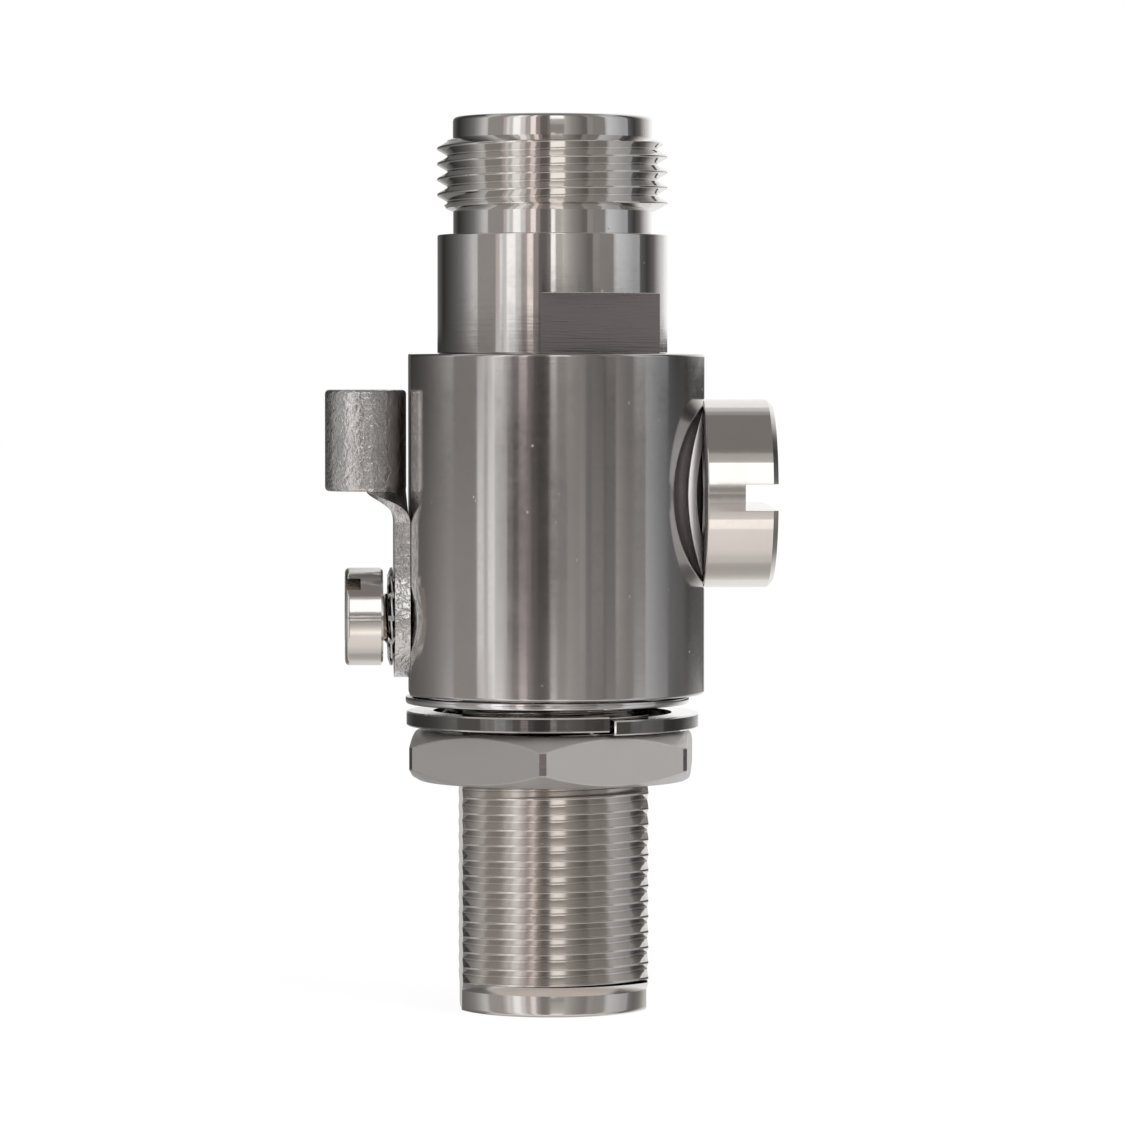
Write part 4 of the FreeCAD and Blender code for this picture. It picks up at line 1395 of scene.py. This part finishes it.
    def _washer(self) -> None:
        """Toothed washer, its teeth twisted out of the plane."""
        span = Span.of("lug_tooth_washer")
        near, far = -span.high.x, -span.low.x
        inner, outer = self.washer_radii
        tip = (near + far) / 2 - 0.04
        shape = Shape().turn([
            (inner, near), (outer - 0.55, near), (outer - 0.03, tip - 0.05), (outer, tip),
            (outer - 0.03, tip + 0.06), (outer - 0.5, far), (inner, far)], 120)
        width, depth = self.gap
        for number in range(self.teeth):
            tool = Shape().block((outer - depth, -width / 2, near - 1),
                                 (outer + 1, width / 2, far + 1))
            shape.combined(tool.spun(360 * number / self.teeth))
        step = math.tau / self.teeth
        for corner in shape.bm.verts:
            share = (corner.co.xy.length - outer + depth) / depth
            angle = math.atan2(corner.co.y, corner.co.x) % step - step / 2
            corner.co.z += max(share, 0.0) * angle / step * self.tooth_twist
        shape.place(Turned.LUG, (0, 0, span.middle.z))
        shape.made("toothed_washer", STEEL, "lug_washer", "lug_tooth_washer")

    def _screw(self) -> None:
        """Slotted cheese-head screw."""
        span = Span.of("lug_screw")
        tip, face = -span.high.x, -span.low.x
        seat = face - self.head_length
        thread = Thread(self.shank, self.shank_root, self.pitch, tip + 1, (
            (tip, self.shank_root - 0.1), (tip + 0.35, self.shank),
            (seat - 0.3, self.shank), (seat, self.shank_root - SLACK)))
        head = [
            (self.head_radius - self.head_foot, seat),
            (self.head_radius, seat + self.head_foot),
            *rounded(self.head_radius, face, self.head_edge, 1, 1, 4),
        ]
        shape = Shape().threaded(thread, [(0.8, tip - 0.001)], head, 64)
        width, depth = self.slot
        tool = Shape().block((-6, -width / 2, face - depth), (6, width / 2, face + 1))
        shape.combined(tool.spun(self.slot_turn))
        shape.place(Turned.LUG, (0, 0, span.middle.z))
        shape.made("cheese_head_screw", POLISHED, "lug_screw", "lug_screw")


@dataclass(frozen=True)
class Inside:
    """Pieces that keep the frame's own shape and get their finish."""

    finishes: tuple[tuple[str, Finish], ...] = (
        ("shell_seal", RUBBER), ("cap_seal", RUBBER), ("panel_gasket", RUBBER),
        ("lower_insulator", PTFE), ("upper_insulator", PTFE), ("centre_conductor", BRASS),
        ("lower_contact", BRASS), ("upper_contact", BRASS), ("capsule_ceramic", CERAMIC),
        ("capsule_inner_electrode", ELECTRODE), ("capsule_outer_electrode", ELECTRODE),
        ("capsule_spring", STEEL))

    def build(self, frame: dict) -> None:
        """Give each piece its material.
        """
        for name, finish in self.finishes:
            piece = frame["nodes"][name]
            for slot in piece.material_slots:
                slot.material = finish.material()
            LOG.info("%s keeps its shape", name)


@dataclass(frozen=True)
class Tone:
    """Light that comes from one direction."""

    angle: float
    level: float
    tint: tuple[float, float, float] = (1.0, 1.0, 1.0)
    soft: bool = False

    def colour(self) -> tuple[float, float, float]:
        """Colour of the light."""
        return tuple(self.level * part for part in self.tint)


WARM_TINT = (1.04, 0.99, 0.95)
ROSE_TINT = (1.08, 0.97, 0.95)
COOL_TINT = (0.97, 0.99, 1.03)


@dataclass(frozen=True)
class Studio:
    """Camera, floor, lamp and the light tent round the object.

    Places are in millimetres and angles in degrees. Bands give where they start and end, and
    those with a third number how strong they are.
    """

    camera: tuple[float, float, float] = (-18.6, -379.5, 44.0)
    target: tuple[float, float, float] = (0.7, 0.0, 30.8)
    lens: float = 176.0
    body_band: tuple[float, float, float] = (-1.6, 1.85, 2.0)
    window: tuple[float, float, float] = (5.6, 7.5, 9.0)
    window_top: tuple[float, float] = (3.0, 3.6)
    window_foot: tuple[float, float] = (-7.0, -7.6)
    tent_reach: tuple[float, float] = (46.0, 50.0)
    card_edge: float = 0.3
    shade: tuple[float, float, float] = (-2.2, 0.6, 0.5)
    floor_band: tuple[float, float, float] = (0.5, -7.0, 0.2)
    floor_tint: tuple[float, float, float] = (0.62, 0.6, 0.58)
    sides: float = 0.35
    lamp: tuple[float, float, float] = (450.0, -450.0, 350.0)
    lamp_target: tuple[float, float, float] = (0.0, 0.0, 30.0)
    lamp_width: float = 500.0
    lamp_energy: float = 6.0
    upper_tent: tuple[Tone, ...] = (
        Tone(-180, 0.9), Tone(-165, 0.14, soft=True), Tone(-140, 0.03, soft=True),
        Tone(-124, 0.075, soft=True), Tone(-112, 0.13, soft=True), Tone(-103, 0.2, soft=True),
        Tone(-95, 0.36, soft=True), Tone(-86, 0.62, soft=True), Tone(-80, 0.31, WARM_TINT),
        Tone(-58, 0.5, ROSE_TINT), Tone(-54, 0.85), Tone(-50.5, 0.65), Tone(-46, 1.2),
        Tone(-37, 0.75), Tone(-31, 0.42, ROSE_TINT), Tone(-25, 1.0, ROSE_TINT),
        Tone(-19, 0.3, ROSE_TINT), Tone(-14, 0.14, ROSE_TINT), Tone(-5, 0.2, ROSE_TINT),
        Tone(-1.5, 1.2), Tone(3.5, 0.5, WARM_TINT), Tone(10, 0.62, WARM_TINT),
        Tone(17, 0.42, WARM_TINT, soft=True), Tone(23, 0.3, WARM_TINT, soft=True),
        Tone(30, 0.22, WARM_TINT, soft=True), Tone(36, 0.15, WARM_TINT, soft=True),
        Tone(41, 0.3, WARM_TINT), Tone(48, 0.25, WARM_TINT), Tone(64, 0.5),
        Tone(68, 0.68, COOL_TINT, soft=True), Tone(78, 0.57, COOL_TINT, soft=True),
        Tone(90, 0.42, COOL_TINT, soft=True), Tone(98, 0.13, COOL_TINT),
        Tone(110, 0.055, soft=True), Tone(122, 0.15, WARM_TINT, soft=True),
        Tone(136, 0.6, soft=True), Tone(155, 1.0, soft=True))
    body_tent: tuple[Tone, ...] = (
        Tone(-180, 0.6), Tone(-165, 0.05, soft=True), Tone(-135, 0.1, soft=True),
        Tone(-112, 0.16, WARM_TINT, soft=True), Tone(-95, 0.26, WARM_TINT, soft=True),
        Tone(-84, 0.32, WARM_TINT, soft=True), Tone(-58.5, 1.0), Tone(-53, 0.6), Tone(-49.5, 1.1),
        Tone(-44, 0.66), Tone(-39, 0.55, soft=True), Tone(-34, 0.19, ROSE_TINT),
        Tone(-29.5, 0.1, ROSE_TINT), Tone(-25, 0.2, ROSE_TINT), Tone(-16, 0.1, ROSE_TINT),
        Tone(-11, 0.055, ROSE_TINT), Tone(-2.5, 0.17, ROSE_TINT), Tone(3, 0.24, WARM_TINT),
        Tone(11.5, 0.33, WARM_TINT), Tone(20.5, 0.38, WARM_TINT), Tone(25, 0.21, WARM_TINT),
        Tone(29.5, 0.28, WARM_TINT), Tone(39, 0.18, WARM_TINT), Tone(49, 0.45, WARM_TINT),
        Tone(54, 0.34, WARM_TINT, soft=True), Tone(59, 0.26, WARM_TINT, soft=True),
        Tone(75, 0.5, COOL_TINT), Tone(81, 0.42, COOL_TINT, soft=True),
        Tone(87, 0.33, COOL_TINT, soft=True), Tone(94, 0.25, COOL_TINT, soft=True),
        Tone(100, 0.165, COOL_TINT, soft=True), Tone(116, 0.12, soft=True),
        Tone(125, 0.05, soft=True), Tone(158, 0.08, soft=True), Tone(168, 0.6))
    front: tuple[Tone, ...] = (
        Tone(-90, 0.72, WARM_TINT), Tone(-45, 0.85, WARM_TINT, soft=True),
        Tone(-36, 1.2, WARM_TINT, soft=True), Tone(-25, 0.7, WARM_TINT, soft=True),
        Tone(-16, 0.45, WARM_TINT, soft=True), Tone(-11, 0.28, WARM_TINT),
        Tone(9.5, 0.45, WARM_TINT), Tone(13, 1.4), Tone(43, 0.45, WARM_TINT),
        Tone(50, 0.21, WARM_TINT))
    back: tuple[Tone, ...] = (
        Tone(-90, 0.5, WARM_TINT), Tone(-84, 0.36, WARM_TINT),
        Tone(-62, 0.5, WARM_TINT, soft=True), Tone(-48, 0.75, soft=True),
        Tone(-20, 0.95, soft=True), Tone(-9, 1.0, soft=True), Tone(9, 1.0),
        Tone(20, 0.75, soft=True), Tone(48, 0.6, soft=True), Tone(58, 0.35),
        Tone(66, 0.21, WARM_TINT))

    def build(self) -> None:
        """Set up the whole studio."""
        self._camera()
        self._world()
        self._floor()
        self._lamp()
        bpy.context.scene.view_settings.view_transform = "Standard"

    def _camera(self) -> None:
        """Long lens on the photograph's line of sight."""
        data = bpy.data.cameras.new("camera")
        data.lens = self.lens
        data.sensor_width = 36.0
        data.clip_start = 0.01
        data.clip_end = 20.0
        item = bpy.data.objects.new("camera", data)
        item.location = Vector(self.camera) * MM
        sight = Vector(self.target) - Vector(self.camera)
        item.rotation_euler = sight.to_track_quat("-Z", "Y").to_euler()
        bpy.context.collection.objects.link(item)
        bpy.context.scene.camera = item

    def _ramp(self, nodes: Nodes, angle: Value, tones: Sequence[Tone], start: float,
              end: float) -> bpy.types.NodeSocket:
        """Cards between two angles in degrees, held until the next one unless it is soft.

        Args:
            nodes: The world's nodes.
            angle: Angle in degrees.
            tones: Cards in order of their angles.
            start: Angle at which the ramp starts.
            end: Angle at which it ends.

        Returns:
            The light's socket.
        """
        stops: list[tuple[float, tuple[float, float, float]]] = []
        for tone in tones:
            if not start <= tone.angle < end:
                continue
            place = (tone.angle - start) / (end - start)
            if stops and not tone.soft:
                stops.append((place - self.card_edge / (end - start), stops[-1][1]))
            stops.append((place, tone.colour()))
        share = (angle - start) * (1 / (end - start))
        made = nodes.add("ShaderNodeValToRGB", {"stops": stops}, {0: share})
        return made.outputs[0]

    def _round(self, nodes: Nodes, azimuth: Value,
               tones: Sequence[Tone]) -> bpy.types.NodeSocket:
        """Cards all the way round, as a left half and a right half.

        Args:
            nodes: The world's nodes.
            azimuth: Angle from the camera, in degrees.
            tones: Cards in order of their angles.

        Returns:
            The light's socket.
        """
        middle = next(tone.angle for tone in tones if tone.angle > -20)
        left = self._ramp(nodes, azimuth, tones, -180, middle)
        right = self._ramp(nodes, azimuth, tones, middle, 180)
        return nodes.mix(azimuth.eased(middle - 0.05, middle + 0.05), left, right)

    def _world(self) -> None:
        """White studio for the eye and a light tent with darker folds for reflections."""
        world = bpy.data.worlds.new("studio")
        bpy.context.scene.world = world
        world.use_nodes = True
        nodes = Nodes(world.node_tree)
        toward = Vector((self.camera[0], self.camera[1], 0)).normalized()
        right = Vector((0, 0, 1)).cross(toward)
        direction = nodes.add("ShaderNodeTexCoord").outputs["Generated"]

        def component(vector: Vector) -> Value:
            """How much of the ray goes along a vector.

            Args:
                vector: The vector.

            Returns:
                The share.
            """
            made = nodes.add("ShaderNodeVectorMath", {"operation": "DOT_PRODUCT"},
                             {0: direction, 1: vector})
            return nodes.value(made, "Value")

        ahead, side, up = component(toward), component(right), component(Vector((0, 0, 1)))
        flat = (ahead * ahead + side * side) ** 0.5
        degrees = 180 / math.pi
        azimuth = side.turn_from(ahead) * degrees
        elevation = up.turn_from(flat) * degrees
        upper = self._round(nodes, azimuth, self.upper_tent)
        middle = self._round(nodes, azimuth, self.body_tent)
        middle_height, full, gone = self.body_band
        thin = (elevation - middle_height).size().eased(full, gone)
        low, high, much = self.shade
        middle = nodes.mix(elevation.eased(low, high) * much, middle, (0, 0, 0, 1))
        tent = nodes.mix(thin, middle, upper)
        high, low, much = self.floor_band
        tent = nodes.mix((elevation * -1).eased(-high, -low) * much, tent, (*self.floor_tint, 1))
        behind = self._ramp(nodes, elevation, self.back, -90, 90.1)
        before = self._ramp(nodes, elevation, self.front, -90, 90.1)
        shell = nodes.mix(ahead.eased(-self.sides, self.sides), behind, before)
        raised = elevation.eased(*self.window_top) + elevation.eased(*self.window_foot)
        straight, full, gone = self.window
        facing = (azimuth - straight).size().eased(gone, full) * raised
        strips = nodes.mix(facing, tent, before)
        full, gone = self.tent_reach
        seen = nodes.mix(elevation.size().eased(gone, full), shell, strips)
        rays = nodes.add("ShaderNodeLightPath")
        lit = nodes.mix(nodes.value(rays, "Is Diffuse Ray"), seen, (1, 1, 1, 1))
        colour = nodes.mix(nodes.value(rays, "Is Camera Ray"), lit, (1, 1, 1, 1))
        background = nodes.add("ShaderNodeBackground", inputs={"Color": colour, "Strength": 1.0})
        nodes.add("ShaderNodeOutputWorld", inputs={0: background.outputs[0]})

    @staticmethod
    def _floor() -> None:
        """Pale floor that keeps the object's shadow and lets reflections see the tent."""
        bm = bmesh.new()
        bmesh.ops.create_circle(bm, cap_ends=True, segments=64, radius=3.0)
        mesh = bpy.data.meshes.new("floor")
        bm.to_mesh(mesh)
        bm.free()
        material = bpy.data.materials.new("pale_floor")
        material.use_nodes = True
        nodes = Nodes(material.node_tree)
        rays = nodes.add("ShaderNodeLightPath")
        paint = nodes.add("ShaderNodeBsdfDiffuse", inputs={"Color": (1, 1, 1, 1)})
        glow = nodes.add("ShaderNodeEmission", inputs={"Color": (1, 1, 1, 1), "Strength": 1.0})
        seen = nodes.add("ShaderNodeMixShader", inputs={
            0: nodes.value(rays, "Is Camera Ray") * 0.93, 1: paint.outputs[0],
            2: glow.outputs[0]})
        clear = nodes.add("ShaderNodeBsdfTransparent")
        under = nodes.value(nodes.add("ShaderNodeNewGeometry"), "Backfacing")
        hidden = nodes.value(rays, "Is Glossy Ray") + under
        mixed = nodes.add("ShaderNodeMixShader", inputs={
            0: hidden, 1: seen.outputs[0], 2: clear.outputs[0]})
        nodes.add("ShaderNodeOutputMaterial", inputs={0: mixed.outputs[0]})
        mesh.materials.append(material)
        floor = bpy.data.objects.new("floor", mesh)
        bpy.context.collection.objects.link(floor)

    def _lamp(self) -> None:
        """One large soft lamp on the right, for the nut and the plastic pieces."""
        data = bpy.data.lights.new("key", "AREA")
        data.size = self.lamp_width * MM
        data.energy = self.lamp_energy
        item = bpy.data.objects.new("key", data)
        item.location = Vector(self.lamp) * MM
        sight = Vector(self.lamp_target) * MM - item.location
        item.rotation_euler = sight.to_track_quat("-Z", "Y").to_euler()
        item.visible_glossy = False
        bpy.context.collection.objects.link(item)


def main() -> None:
    """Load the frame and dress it."""
    logging.basicConfig(level=logging.INFO, format="%(name)s: %(message)s")
    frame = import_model()
    Studio().build()
    Housing().build()
    PortCap().build()
    Fastening().build()
    GroundLug().build()
    Inside().build(frame)


if __name__ == "__main__":
    main()
